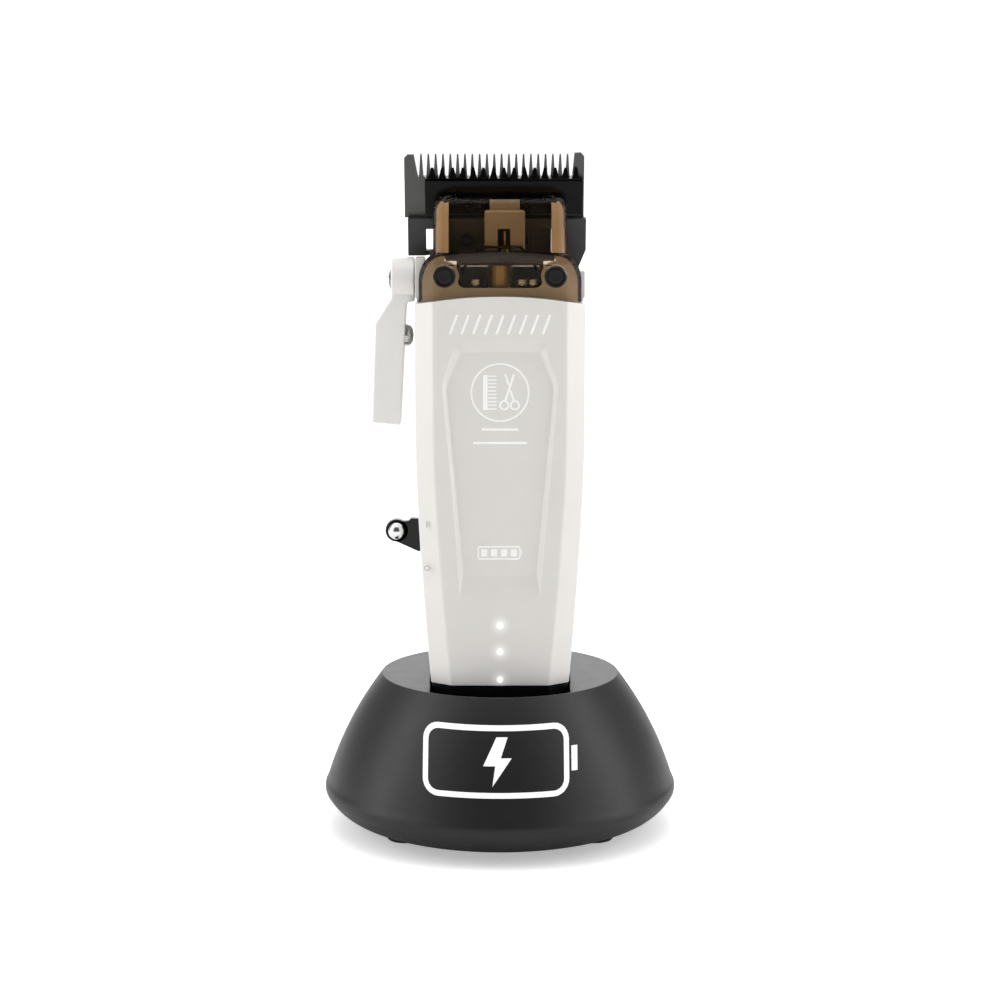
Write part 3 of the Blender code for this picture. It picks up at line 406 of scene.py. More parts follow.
def arc(start, end, rise, steps):
    """Points of a circular arc from start to end, bulging by rise to the right of the way there."""
    start, end = Vector(start), Vector(end)
    chord = end - start
    half = chord.length / 2
    radius = (half * half + rise * rise) / (2 * rise)
    side = Vector((chord.y, -chord.x)).normalized()
    centre = (start + end) / 2 - side * (radius - rise)
    sweep = 2 * math.asin(half / radius)
    points = []
    for i in range(steps + 1):
        angle = sweep * (i / steps - 0.5)
        across = side * math.cos(angle) * radius
        onward = chord.normalized() * math.sin(angle) * radius
        points.append(tuple(centre + across + onward))
    return points


def eased(points, sizes, steps=4):
    """An open outline whose inner corners are rounded. A size of 0 leaves a corner sharp."""
    made = [points[0]]
    for before, here, after, size in zip(points, points[1:], points[2:], sizes):
        if not size:
            made.append(here)
            continue
        here = Vector(here)
        first = here + (Vector(before) - here).normalized() * size
        last = here + (Vector(after) - here).normalized() * size
        for i in range(steps + 1):
            t = i / steps
            made.append(tuple(first * (1 - t) ** 2 + here * 2 * t * (1 - t) + last * t * t))
    return made + [points[-1]]


def boolean(made, other, operation="DIFFERENCE"):
    """Cuts or joins by another object, which becomes a hidden helper."""
    step = made.modifiers.new(other.name, "BOOLEAN")
    step.object = other
    step.operation = operation
    step.solver = "EXACT"
    other.hide_render = True
    other.display_type = "WIRE"
    return made


def rounded(made, width, segments=3, angle=28.0):
    """Bevels the edges sharper than an angle."""
    step = made.modifiers.new("Edges", "BEVEL")
    step.width = width * MM
    step.segments = segments
    step.limit_method = "ANGLE"
    step.angle_limit = math.radians(angle)
    step.use_clamp_overlap = False
    return made


def baked(made):
    """Turns a piece's modifiers into its mesh."""
    graph = bpy.context.evaluated_depsgraph_get()
    mesh = bpy.data.meshes.new_from_object(made.evaluated_get(graph))
    made.modifiers.clear()
    made.data = mesh
    return made


def stand_for(made, node, sharp=28.0, flat=False):
    """Shades a piece, gives it its CAD node's material and puts it in the node's place."""
    mesh = made.data
    mesh.materials.clear()
    mesh.materials.append(look_of(node))
    mesh.shade_smooth()
    mesh.set_sharp_from_angle(angle=math.radians(sharp))
    if flat:
        made.modifiers.new("Flats", "WEIGHTED_NORMAL").keep_sharp = True
    made.name = f"{node}_fine"
    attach(made, body_of(node))
    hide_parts(node)
    return made


def refined(node, width, smooth):
    """A copy of a CAD node with flat faces rejoined and edges rounded, smooth only below an angle."""
    data = bmesh.new()
    data.from_mesh(frame["nodes"][node].data)
    bmesh.ops.remove_doubles(data, verts=data.verts, dist=2e-6)
    bmesh.ops.dissolve_limit(data, angle_limit=math.radians(0.3), verts=data.verts, edges=data.edges)
    data.verts.index_update()
    points = [vert.co.copy() for vert in data.verts]
    faces = [[vert.index for vert in face.verts] for face in data.faces]
    data.free()
    mesh = bpy.data.meshes.new(node)
    mesh.from_pydata(points, [], faces)
    made = linked(f"{node}_fine", mesh)
    if width:
        baked(rounded(made, width, 2))
    return stand_for(made, node, smooth, flat=True)


# ---------------------------------------------------------------- smoked head cover

COVER_HALF = high_mm("head_cover").x
COVER_TOP = 151.5
COVER_WALL = 0.7
COVER_FRONT = low_mm("head_cover").y
COVER_BACK = -14.2
LEDGE_UNDER = 149.9
WINDOW_HALF = 16.8
WINDOW_TOP = high_mm("head_cover").z
WINDOW_FRONT = -16.8
WINDOW_FOOT = 150.5
WINDOW_LEAN = 0.25
WINDOW_BACK = -7.5
WINDOW_ROUND = 3.0
BODY_TOP = high_mm("front_shell").z
ARCH_R = 111.0
COVER_SCREW = middle_mm("cover_screw_right")
BUSH_R = 2.7
BUSH_FRONT, BUSH_BACK = -18.9, -12.9
SINK_R, SINK_FLOOR = 2.2, -16.9
SEAT_FRONT, SEAT_BACK = -15.3, -14.4
SEAT_RING_R = 3.6
SILL_IN, SILL_OUT = 10.5, 15.6
RAIL_IN, RAIL_OUT = 12.9, 15.85

# From before the cover's seat and seal to behind them, for what cuts right through
THROUGH = (-20.0, -10.0)


def cover_outline(side_inset, top_inset, corner_x, corner_z, bottom_gap):
    """The lower cover from the front: arched foot, straight sides, round shoulders and a bowed top."""
    half = COVER_HALF - side_inset
    top = COVER_TOP - top_inset
    bow = 0.7
    shoulder_x = half - corner_x
    shoulder_z = top - bow - corner_z
    foot = BODY_TOP + bottom_gap
    rim = foot - half * half / (2 * ARCH_R)
    points = arc((-half, rim), (half, rim), rim - foot, 24)
    corner = 10
    for start, side in ((0, 1), (90, -1)):
        for i in range(corner + 1):
            turn = math.radians(start + 90 * i / corner)
            x = side * shoulder_x + corner_x * math.cos(turn)
            points.append((x, shoulder_z + corner_z * math.sin(turn)))
        if side == 1:
            points += arc((shoulder_x, top - bow), (-shoulder_x, top - bow), bow, 10)[1:-1]
    return points


def lower_cover(name, wall, back):
    """The lower cover or its hollow, one wall inside, which runs out through the foot."""
    gap = -0.6 if wall else 0.3
    full = cover_outline(wall, wall, 5.5, 7.3, gap)
    face = cover_outline(3.8 + 0.4 * wall, 3.0 + 0.4 * wall, 4.1, 4.6, gap)
    front = COVER_FRONT + wall
    edge = COVER_FRONT + 3.6 + 0.4 * wall
    return loft(name, [along("Y", full, back), along("Y", full, edge), along("Y", face, front)])


def window_front(z):
    return WINDOW_FRONT + WINDOW_LEAN * (z - WINDOW_FOOT)


def window_section(inset, z, back):
    """Plan of the upper cover: its front leans back as it rises, with broad facets at both edges."""
    half = WINDOW_HALF - inset
    front = window_front(z) + min(inset, COVER_WALL)
    corners = [(0.0, front), (half - 2.4, front), (half, front + 2.2), (half, WINDOW_BACK + back)]
    right = eased(corners, (0.5, 0.5), 3)
    return [(-x, y) for x, y in reversed(right[1:])] + right[1:]


def upper_cover(name, wall, low, back=0.0):
    """The upper cover or its hollow, with a round top edge."""
    corner = WINDOW_ROUND - 0.5 * wall
    foot = WINDOW_TOP - wall - corner
    sections = [(wall, low)]
    for i in range(10):
        turn = math.radians(10 * i)
        sections.append((wall + corner * (1 - math.cos(turn)), foot + corner * math.sin(turn)))
    return loft(name, [along("Z", window_section(inset, z, back), z) for inset, z in sections])


def head_cover():
    cover = lower_cover("head_cover_fine", 0.0, COVER_BACK)
    boolean(cover, upper_cover("join_window", 0.0, 147.0), "UNION")
    boolean(cover, lower_cover("cut_cover_low", COVER_WALL, -12.0))
    boolean(cover, upper_cover("cut_cover_high", COVER_WALL, 145.0, back=3.0))
    boolean(cover, box("cut_cover_back", (-25.0, COVER_BACK, 130.0), (25.0, -5.0, LEDGE_UNDER)))
    for side in (-1, 1):
        centre = (side * COVER_SCREW.x, COVER_SCREW.z)
        boolean(cover, rod(f"cut_cover_hole_{side}", centre, BUSH_R + 0.05, "Y", -24.0, -11.0))
    return stand_for(baked(cover), "head_cover", 20.0, flat=True)


def cover_bushes():
    """Dark bush in each screw hole of the cover, sunk for the screw's head."""
    for side, name in ((-1, "cover_bush_left"), (1, "cover_bush_right")):
        centre = (side * COVER_SCREW.x, COVER_SCREW.z)
        bush = rod(name, centre, BUSH_R, "Y", BUSH_FRONT, BUSH_BACK)
        boolean(bush, rod(f"{name}_sink", centre, SINK_R, "Y", -22.0, SINK_FLOOR))
        boolean(bush, rod(f"{name}_hole", centre, 1.3, "Y", -18.0, -11.0))
        mesh = baked(bush).data
        mesh.materials.append(material_for("gloss_black"))
        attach(bush, "clipper")


def cover_gasket():
    """Thin dark seal behind the rim of the cover, one strip at each side, and a sill under each upright."""
    rim = cover_outline(0.08, 0.08, 5.45, 7.25, 0.3)
    seal = prism("cover_gasket", rim, "Y", COVER_BACK + 0.05, COVER_BACK + 0.35)
    boolean(seal, prism("cut_gasket_middle", cover_outline(1.2, 1.2, 5.0, 6.7, -3.0), "Y", *THROUGH))
    boolean(seal, box("cut_gasket_top", (-25.0, THROUGH[0], LEDGE_UNDER - 0.1), (25.0, THROUGH[1], 155.0)))
    for side, low, high in ((-1, -SILL_OUT, -SILL_IN), (1, SILL_IN, SILL_OUT)):
        boolean(seal, box(f"join_sill_{side}", (low, -13.2, 149.0), (high, -12.6, 150.5)), "UNION")
    mesh = baked(seal).data
    mesh.materials.append(material_for("rubber"))
    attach(seal, "clipper")


def cover_rails():
    """Pale seat of the cover, seen through it: a foot band, two shoulders and an upright at each side."""
    seat = prism("cover_seat", cover_outline(1.05, 1.2, 5.0, 6.8, -2.6), "Y", SEAT_FRONT, SEAT_BACK)
    low, high = BODY_TOP + 1.9, 160.0
    hole = eased([(0.0, low), (10.7, low), (10.7, COVER_SCREW.z)], (2.2,), 6)[1:]
    hole += [(COVER_SCREW.x, COVER_SCREW.z), (COVER_SCREW.x, high)]
    boolean(seat, prism("cut_seat_middle", hole + [(-x, z) for x, z in reversed(hole)], "Y", *THROUGH))
    for side in (-1, 1):
        centre = (side * COVER_SCREW.x, COVER_SCREW.z)
        ring = rod(f"join_seat_ring_{side}", centre, SEAT_RING_R, "Y", SEAT_FRONT - 0.1, SEAT_BACK)
        boolean(seat, ring, "UNION")
        boolean(seat, rod(f"cut_seat_boss_{side}", centre, BUSH_R + 0.1, "Y", *THROUGH))
    mesh = baked(seat).data
    mesh.materials.append(material_for("rail_cream"))
    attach(seat, "clipper")
    for side, name in ((-1, "cover_rail_left"), (1, "cover_rail_right")):
        rings = []
        for z, narrow in ((150.6, 0.0), (161.0, 0.0), (162.2, 0.4), (162.9, 1.0)):
            front = window_front(z) + COVER_WALL + 0.5
            outline = [(RAIL_IN, front - 0.1), (15.1, front + 1.8), (RAIL_OUT, front + 3.0), (RAIL_OUT, -8.6)]
            outline += [(15.2, -8.6), (15.2, front + 3.2), (RAIL_IN, front + 1.1)]
            rings.append(along("Z", [(side * (x - narrow * (x > 14.9)), y) for x, y in outline], z))
        rail = loft(name, rings)
        rail.data.materials.append(material_for("rail_cream"))
        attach(rail, "clipper")


# ---------------------------------------------------------------- clipper housing

BODY_BOTTOM = low_mm("front_shell").z
BODY_HALF = high_mm("front_shell").x
TAPER_START = 104.0
TAPER_RATE = 0.007644
FRONT_LEAN = 2.4
PANEL_DEPTH = 1.0
SPLIT_FRONT = high_mm("front_shell").y
SPLIT_REAR = SPLIT_FRONT + 0.3
FACET_DEPTH = 4.0
FACET_WIDTH = 4.75
BODY_WALL = 2.0
GRIP_BACK = 16.5
GRIP_Z = 90.0
LED_HOLE_R = 0.77
REAR_TOP = 146.6
CAP_BOTTOM = low_mm("end_cap").z
CAP_TOP = high_mm("end_cap").z
CAP_WALL = 2.4
CAP_FLOOR = 2.2
CONTACT_HOLE_R = 2.3
LEVER = middle_mm("lever_pivot")
SLOT_MIDDLE = middle_mm("switch_arm").y
SLOT_HALF = 1.9
SLOT_LOW, SLOT_HIGH = 73.0, 84.2
PIVOT_HOLE_R = 3.0
POST_R, POST_HOLE_R = 2.4, 1.2
BOSS_R, HEAD_HOLE_R, SHANK_HOLE_R = 3.8, 2.7, 1.5


def half_width(z):
    """The body narrows towards its foot."""
    return BODY_HALF - TAPER_RATE * max(TAPER_START - z, 0.0) ** 1.5


def facet_inset(z):
    """How far the front face's edge lies inside the body's side. The facet widens a little downwards."""
    return FACET_WIDTH + 0.5 * min(max((100.0 - z) / 59.0, 0.0), 1.0)


def front_y(z):
    """The body's flat front leans back as it rises."""
    low = low_mm("front_shell").y
    return low + FRONT_LEAN * (z - BODY_BOTTOM) / (BODY_TOP - BODY_BOTTOM)


def back_y(z):
    """The grip swells at mid height and slopes forward to the blade above it."""
    if z < GRIP_Z:
        return GRIP_BACK - 3.5 * ((GRIP_Z - z) / 48.8) ** 2
    rise = min(z - GRIP_Z, 30.0)
    return GRIP_BACK - 0.005455 * rise * rise - 0.3273 * max(z - GRIP_Z - 30.0, 0.0)


def front_outline(z, inset, split, ease=True):
    """The body's plan from the split line round the front, left to right."""
    side = half_width(z) - inset
    face = half_width(z) - facet_inset(z) - 0.45 * inset
    y = front_y(z) + inset
    corner = front_y(z) + FACET_DEPTH + 0.45 * inset
    plan = [(-side, split), (-side, corner), (-face, y), (face, y), (side, corner), (side, split)]
    return eased(plan, (0.6, 0.5, 0.5, 0.6), 3) if ease else plan


def back_outline(z, inset, split, step=10):
    """The plan's rear half, right to left, with rounded flanks."""
    side = half_width(z) - inset
    y = back_y(z) - inset
    depth = 0.5 * (y - split)
    reach = 0.85 * depth
    right = []
    for degrees in range(0, 91, step):
        turn = math.radians(degrees)
        right.append((side - reach * (1 - math.cos(turn)), y - depth + depth * math.sin(turn)))
    left = [(-x, y) for x, y in reversed(right)]
    return [(side, split)] + right + left + [(-side, split)]


def rows(low, high, count):
    """Heights from low to high with an inset at the first, so that the lower edge is rounded."""
    soft = 0.25
    levels = [(low, soft), (low + 0.3 * soft, 0.3 * soft), (low + soft, 0.0)]
    return levels + [(low + soft + (high - low - soft) * i / count, 0.0) for i in range(1, count + 1)]


def half_shell(name, outer, inner, low, high):
    """A half shell: its outer outline one way, its inner outline back."""
    return loft(name, [along("Z", outer(z, inset) + inner(z)[::-1], z) for z, inset in rows(low, high, 26)])


def panel_ring(shift, half_top, half_shoulder, half_foot, top, shoulder, foot):
    """Outline of the front panel at a depth: a shield that narrows to its foot."""
    corners = [(0.0, foot), (half_foot, foot), (half_shoulder, shoulder), (half_top, top), (0.0, top)]
    right = eased(corners, (0.8, 1.5, 0.8), 4)[1:-1]
    return [(x, front_y(z) + shift, z) for x, z in right + [(-x, z) for x, z in reversed(right)]]


def front_shell():
    shell = half_shell(
        "front_shell_fine", lambda z, inset: front_outline(z, inset, SPLIT_FRONT),
        lambda z: front_outline(z, BODY_WALL, SPLIT_FRONT, ease=False), BODY_BOTTOM, 141.0,
    )
    half = 24.0
    rim = BODY_TOP - half * half / (2 * ARCH_R)
    crown = arc((half, rim), (-half, rim), BODY_TOP - rim, 32) + [(-half, 170.0), (half, 170.0)]
    boolean(shell, prism("cut_front_arch", crown, "Y", -30.0, 20.0))
    rings = [
        panel_ring(-PANEL_DEPTH, 11.9, 15.6, 11.0, 131.2, 118.9, 57.1),
        panel_ring(PANEL_DEPTH - 0.12, 10.0, 13.7, 9.3, 126.4, 117.6, 68.9),
        panel_ring(PANEL_DEPTH, 9.6, 13.3, 9.0, 125.7, 117.4, 69.8),
    ]
    boolean(shell, loft("cut_panel", rings))
    for index in (1, 2, 3):
        z = middle_mm(f"led_lens_{index}").z
        boolean(shell, rod(f"cut_led_{index}", (0.0, z), LED_HOLE_R, "Y", -24.0, -17.0, 32))
    low, high = (-24.0, SLOT_MIDDLE - SLOT_HALF, SLOT_LOW), (-17.0, SLOT_MIDDLE + SLOT_HALF, SLOT_HIGH)
    boolean(shell, box("cut_switch_slot", low, high))
    return stand_for(baked(shell), "front_shell", 28.0, flat=True)


def rear_shell():
    shell = half_shell(
        "rear_shell_fine", lambda z, inset: back_outline(z, inset, SPLIT_REAR),
        lambda z: back_outline(z, BODY_WALL, SPLIT_REAR, 30), BODY_BOTTOM, REAR_TOP,
    )
    left = [(-13.9, 139.2), (0.5, 139.2), (0.5, 146.3), (-4.6, 146.3), (-4.6, 149.3), (-13.9, 149.3)]
    boolean(shell, rounded(prism("join_left_cheek", left, "X", -21.4, -19.0), 0.3, 2), "UNION")
    right = [(-13.9, 139.2), (0.5, 139.2), (0.5, 144.0), (-4.6, 144.0), (-4.6, 146.0), (-13.9, 146.0)]
    boolean(shell, rounded(prism("join_right_cheek", right, "X", 19.0, 21.4), 0.3, 2), "UNION")
    boolean(shell, box("cut_right_shoulder", (15.5, -4.6, 144.2), (24.0, 10.0, 150.0)))
    boolean(shell, rod("cut_pivot_hole", (LEVER.y, LEVER.z), PIVOT_HOLE_R, "X", -23.0, -17.5))
    for side in (-1, 1):
        centre = (side * COVER_SCREW.x, COVER_SCREW.z)
        root = back_y(COVER_SCREW.z) - 0.8
        boolean(shell, rod(f"join_post_{side}", centre, POST_R, "Y", -12.6, root), "UNION")
        boolean(shell, rod(f"cut_post_{side}", centre, POST_HOLE_R, "Y", -14.0, -6.0))
    for name in ("shell_screw_lower", "shell_screw_upper"):
        z = middle_mm(name).z
        back = back_y(z)
        boolean(shell, rod(f"join_boss_{name}", (0.0, z), BOSS_R, "Y", back - 6.0, back - 0.8), "UNION")
        boolean(shell, rod(f"cut_head_{name}", (0.0, z), HEAD_HOLE_R, "Y", back - 3.0, back + 2.0))
        boolean(shell, rod(f"cut_shank_{name}", (0.0, z), SHANK_HOLE_R, "Y", back - 8.0, back))
    return stand_for(baked(shell), "rear_shell", 28.0, flat=True)


def cap_outline(z, inset):
    """The end cap's plan, which narrows a little towards its foot."""
    inset += 0.03 * (BODY_BOTTOM - z)
    front = front_outline(BODY_BOTTOM, inset, SPLIT_FRONT)[1:-1]
    return front + back_outline(BODY_BOTTOM, inset, SPLIT_FRONT)[1:-1]


def end_cap():
    levels = [(CAP_BOTTOM, 1.4), (CAP_BOTTOM + 0.4, 0.7), (CAP_BOTTOM + 1.2, 0.15), (CAP_TOP, 0.15)]
    cap = loft("end_cap_fine", [along("Z", cap_outline(z, inset), z) for z, inset in levels])
    inside = cap_outline(BODY_BOTTOM, CAP_WALL)
    boolean(cap, prism("cut_cap_hollow", inside, "Z", CAP_BOTTOM + CAP_FLOOR, CAP_TOP + 2.0))
    for name in ("charge_contact_left", "charge_contact_right"):
        contact = middle_mm(name)
        boolean(cap, rod(f"cut_{name}", (contact.x, contact.y), CONTACT_HOLE_R, "Z", 14.0, 21.0))
    return stand_for(baked(cap), "end_cap", 35.0, flat=True)


# ---------------------------------------------------------------- levers

LEVER_OUT = -27.5
LEVER_IN = high_mm("taper_lever").x
HUB_R = 5.7
HUB_BORE_R = 2.9
DETENT_BORE_R = 3.1
ARM_HALF = 4.5
CUP_R = 2.9


def taper_lever():
    """A round hub with an arm that hangs from it, bored for its pivot and its detent."""
    lever = rounded(rod("taper_lever_fine", (LEVER.y, LEVER.z), HUB_R, "X", LEVER_OUT, LEVER_IN, 72), 0.5)
    outline = [
        (-27.3, 142.0), (-27.5, 139.0), (-31.6, 132.6), (-32.6, 107.5), (-25.3, 106.8), (-24.3, 126.7),
        (-23.7, 137.4), (-22.2, 139.0), (-22.2, 142.0),
    ]
    arm = prism("join_lever_arm", outline, "Y", LEVER.y - ARM_HALF, LEVER.y + ARM_HALF)
    boolean(lever, rounded(arm, 0.5, 3, 25.0), "UNION")
    boolean(lever, rod("cut_lever_bore", (LEVER.y, LEVER.z), HUB_BORE_R, "X", -30.0, -19.0))
    detent = middle_mm("detent_plunger")
    boolean(lever, rod("cut_detent_bore", (detent.y, detent.z), DETENT_BORE_R, "X", -29.2, -20.0))
    return stand_for(baked(lever), "taper_lever", 30.0, flat=True)


def globe(name, centre, radius, columns=64, rings=32):
    data = bmesh.new()
    place = Matrix.Translation(Vector(centre)) @ Matrix.Rotation(math.radians(90), 4, "X")
    bmesh.ops.create_uvsphere(data, u_segments=columns, v_segments=rings, radius=radius, matrix=place)
    return object_from(name, data)


def power_lever():
    """A black arm that ends in a cup, and the chrome ball in it."""
    ball = middle_mm("switch_ball")
    ball_r = (high_mm("switch_ball").z - low_mm("switch_ball").z) / 2
    low, high = low_mm("switch_arm").y, high_mm("switch_arm").y
    outline = [
        (-16.9, 77.0), (-16.9, 79.8), (-19.4, 82.3), (-21.0, 82.6), (-22.8, 82.7), (-23.3, 82.1),
        (-24.4, 81.9), (-26.0, 82.2), (-26.5, 79.5), (-27.4, 77.0), (-21.0, 74.1), (-19.4, 74.4),
    ]
    arm = prism("switch_arm_fine", outline, "Y", low, high)
    boolean(arm, rod("join_cup", (ball.x, ball.z), CUP_R, "Y", low, high, 64), "UNION")
    boolean(arm, globe("cut_ball_seat", ball, ball_r + 0.3, 48, 24))
    stand_for(rounded(baked(arm), 0.12, 2, 40.0), "switch_arm", 30.0)
    stand_for(globe("switch_ball_fine", ball, ball_r), "switch_ball", 60.0)


# ---------------------------------------------------------------- stand

RIM_Z = high_mm("stand_shell").z
WIDE_R = high_mm("stand_shell").x
RIM_R = WIDE_R - 15.2
WIDE_Z = 9.8
FOOT_R = WIDE_R - 9.2
SHELL_BOTTOM = low_mm("stand_shell").z
STAND_WALL = 2.6
MOUTH_HALF = 17.8
MOUTH_BACK = 15.5
MOUTH_CORNER = 6.0
INLET_X, INLET_Z, INLET_CORNER = 4.9, 2.0, 1.95


def flank(steps):
    """The flank's profile from the rim down to the widest edge, which bulges a little."""
    return arc((RIM_R, RIM_Z), (WIDE_R - 0.6, WIDE_Z + 2.2), -1.45, steps)


def mouth_outline(grow):
    """The opening in the stand's top, whose front follows the rim."""
    half, back, corner = MOUTH_HALF + grow, MOUTH_BACK + grow, MOUTH_CORNER
    reach = RIM_R - 0.5 + 0.5 * grow
    start = math.asin(half / reach)
    front = []
    for i in range(25):
        turn = start * (1 - i / 12)
        front.append((-reach * math.sin(turn), -reach * math.cos(turn)))
    right = arc((half, -19.0), (half, back - corner), 0.4, 8)
    for degrees in range(15, 91, 15):
        turn = math.radians(degrees)
        right.append((half - corner * (1 - math.cos(turn)), back - corner * (1 - math.sin(turn))))
    return front + right + [(-x, y) for x, y in reversed(right)]


def stand_shell():
    edge = arc((WIDE_R - 0.6, WIDE_Z + 2.2), (WIDE_R - 0.8, WIDE_Z - 2.0), -0.75, 8)
    lower = arc((WIDE_R - 0.8, WIDE_Z - 2.0), (FOOT_R, SHELL_BOTTOM), -1.0, 10)
    outer = flank(24) + edge[1:] + lower[1:]
    inner = []
    for i, point in enumerate(outer):
        way = (Vector(outer[min(i + 1, len(outer) - 1)]) - Vector(outer[max(i - 1, 0)])).normalized()
        inner.append((point[0] + way.y * STAND_WALL, point[1] - way.x * STAND_WALL))
    inner[0] = (inner[0][0], RIM_Z - STAND_WALL)
    inner[-1] = (FOOT_R - 2.2, SHELL_BOTTOM)
    rim = eased([(0.0, RIM_Z), outer[0], outer[1]], (0.22,), 4)[:-1]
    rim = [rim[0], (rim[1][0] - 0.05, RIM_Z)] + rim[1:]
    profile = rim + outer[1:] + inner[::-1] + [(0.0, RIM_Z - STAND_WALL)]
    shell = turned("stand_shell_fine", profile, 160)
    levels = [(34.0, 0.0), (RIM_Z - 0.2, 0.0), (RIM_Z - 0.06, 0.06), (RIM_Z, 0.2), (RIM_Z + 2.0, 0.2)]
    boolean(shell, loft("cut_mouth", [along("Z", mouth_outline(grow), z) for z, grow in levels]))
    inlet = middle_mm("charging_inlet").z
    slot = rounded_box((-INLET_X, inlet - INLET_Z), (INLET_X, inlet + INLET_Z), INLET_CORNER, 8)
    boolean(shell, prism("cut_inlet", slot, "Y", 38.0, 50.0))
    return stand_for(baked(shell), "stand_shell", 40.0, flat=True)


# ---------------------------------------------------------------- printed marks

INK_RAISED = 0.04
INK_SUNK = 0.05


def face_surface(x, z):
    return front_y(z)


def panel_surface(x, z):
    return front_y(z) + PANEL_DEPTH


def facet_surface(x, z):
    """The body's side facet near the power lever."""
    return front_y(z) + FACET_DEPTH * (abs(x) - 16.7) / FACET_WIDTH


def flank_surface(x, z):
    """The stand's flank at a height, which bulges a little from rim to edge."""
    points = flank(24)
    for (r_high, z_high), (r_low, z_low) in zip(points, points[1:]):
        if z_low <= z <= z_high:
            share = (z - z_low) / (z_high - z_low)
            return -math.sqrt((r_low + share * (r_high - r_low)) ** 2 - x * x)
    raise ValueError(z)


def bar(start, end, width):
    """A straight stroke with square ends."""
    start, end = Vector(start), Vector(end)
    way = (end - start).normalized()
    side = Vector((-way.y, way.x)) * width / 2
    return [tuple(start - side), tuple(end - side), tuple(end + side), tuple(start + side)]


def loop(points, width):
    """A closed stroke along points, as quads that meet at the corners."""
    count = len(points)
    inner, outer = [], []
    for i in range(count):
        before, here, after = (Vector(points[(i + k) % count]) for k in (-1, 0, 1))
        first = (here - before).normalized()
        second = (after - here).normalized()
        normal = Vector((-first.y, first.x)) + Vector((-second.y, second.x))
        mitre = normal / normal.length_squared * width
        inner.append(tuple(here + mitre))
        outer.append(tuple(here - mitre))
    return [[outer[i], outer[(i + 1) % count], inner[(i + 1) % count], inner[i]] for i in range(count)]


def rounded_box(low, high, radius, steps=6):
    corners = [(high[0], low[1], -90), (high[0], high[1], 0), (low[0], high[1], 90), (low[0], low[1], 180)]
    points = []
    for x, y, start in corners:
        cx = x - math.copysign(radius, x - (low[0] + high[0]) / 2)
        cy = y - math.copysign(radius, y - (low[1] + high[1]) / 2)
        for i in range(steps + 1):
            turn = math.radians(start + 90 * i / steps)
            points.append((cx + radius * math.cos(turn), cy + radius * math.sin(turn)))
    return points


def printed(name, shapes, surface, body, ink, cell=None):
    """Flat shapes as thin ink on a surface, cut into cells so that they follow its curve."""
    data = bmesh.new()
    for shape in shapes:
        data.faces.new([data.verts.new((x, 0.0, z)) for x, z in shape])
    bmesh.ops.remove_doubles(data, verts=data.verts, dist=1e-4)
    xs = [x for shape in shapes for x, _ in shape]
    zs = [z for shape in shapes for _, z in shape]
    for axis, values in (((1, 0, 0), xs), ((0, 0, 1), zs)):
        cuts = int((max(values) - min(values)) / cell) if cell else 0
        for i in range(1, cuts + 1):
            place = Vector(axis) * (min(values) + i * cell)
            geometry = data.verts[:] + data.edges[:] + data.faces[:]
            bmesh.ops.bisect_plane(data, geom=geometry, plane_co=place, plane_no=axis, dist=1e-5)
    front = data.faces[:]
    bmesh.ops.recalc_face_normals(data, faces=front)
    back = bmesh.ops.extrude_face_region(data, geom=front)
    behind = {item for item in back["geom"] if isinstance(item, bmesh.types.BMVert)}
    for vert in data.verts:
        depth = INK_SUNK if vert in behind else -INK_RAISED
        vert.co.y = surface(vert.co.x, vert.co.z) + depth
    made = object_from(name, data)
    made.data.materials.append(INKS[ink]())
    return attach(made, body)


def bright_ink(name, colour, glow):
    """Ink with a faint glow, which keeps it lighter than the enamel round it."""
    graph = finish(name, colour, 0.45, vary=0.02, grain_mm=0.2, grain_depth=0.004)
    graph.set(Emission_Color=(1.0, 0.995, 0.98, 1.0), Emission_Strength=glow)
    return graph.material


def white_ink():
    return bright_ink("white_ink", (0.90, 0.90, 0.89), 0.22)


def pale_ink():
    return bright_ink("pale_ink", (0.93, 0.92, 0.90), 0.14)


def grey_ink():
    return finish("grey_ink", (0.45, 0.45, 0.44), 0.45).material


INKS = {"white": white_ink, "pale": pale_ink, "grey": grey_ink}


def slanted_bars():
    """A plain row of slanted ticks across the head of the body."""
    shapes = []
    for i in range(9):
        x = -11.6 + 2.9 * i
        shapes.append(bar((x - 0.9, 130.6), (x + 0.9, 135.4), 0.55))
    printed("tick_row", shapes, face_surface, "clipper", "pale")


def barber_sign():
    """A plain comb and scissors in a ring, with two short rules under it."""
    centre_z = 115.9
    shapes = loop(circle(0.0, centre_z, 7.2, 48), 0.4)
    shapes.append(bar((-3.7, centre_z - 4.4), (-3.7, centre_z + 4.4), 1.1))
    for i in range(10):
        z = centre_z - 4.1 + 0.91 * i
        shapes.append(bar((-3.1, z), (-0.9, z), 0.34))
    for side in (-1, 1):
        shapes += loop(circle(2.4 + 1.35 * side, centre_z - 3.2, 1.05, 24), 0.42)
    shapes.append(bar((1.35, centre_z - 2.0), (3.5, centre_z + 4.6), 0.5))
    shapes.append(bar((3.45, centre_z - 2.0), (2.62, centre_z + 0.55), 0.5))
    shapes.append(bar((2.2, centre_z + 1.84), (1.3, centre_z + 4.6), 0.5))
    shapes.append(bar((-4.6, 106.6), (4.6, 106.6), 0.55))
    shapes.append(bar((-6.8, 103.2), (6.8, 103.2), 0.55))
    printed("barber_sign", shapes, panel_surface, "clipper", "pale")


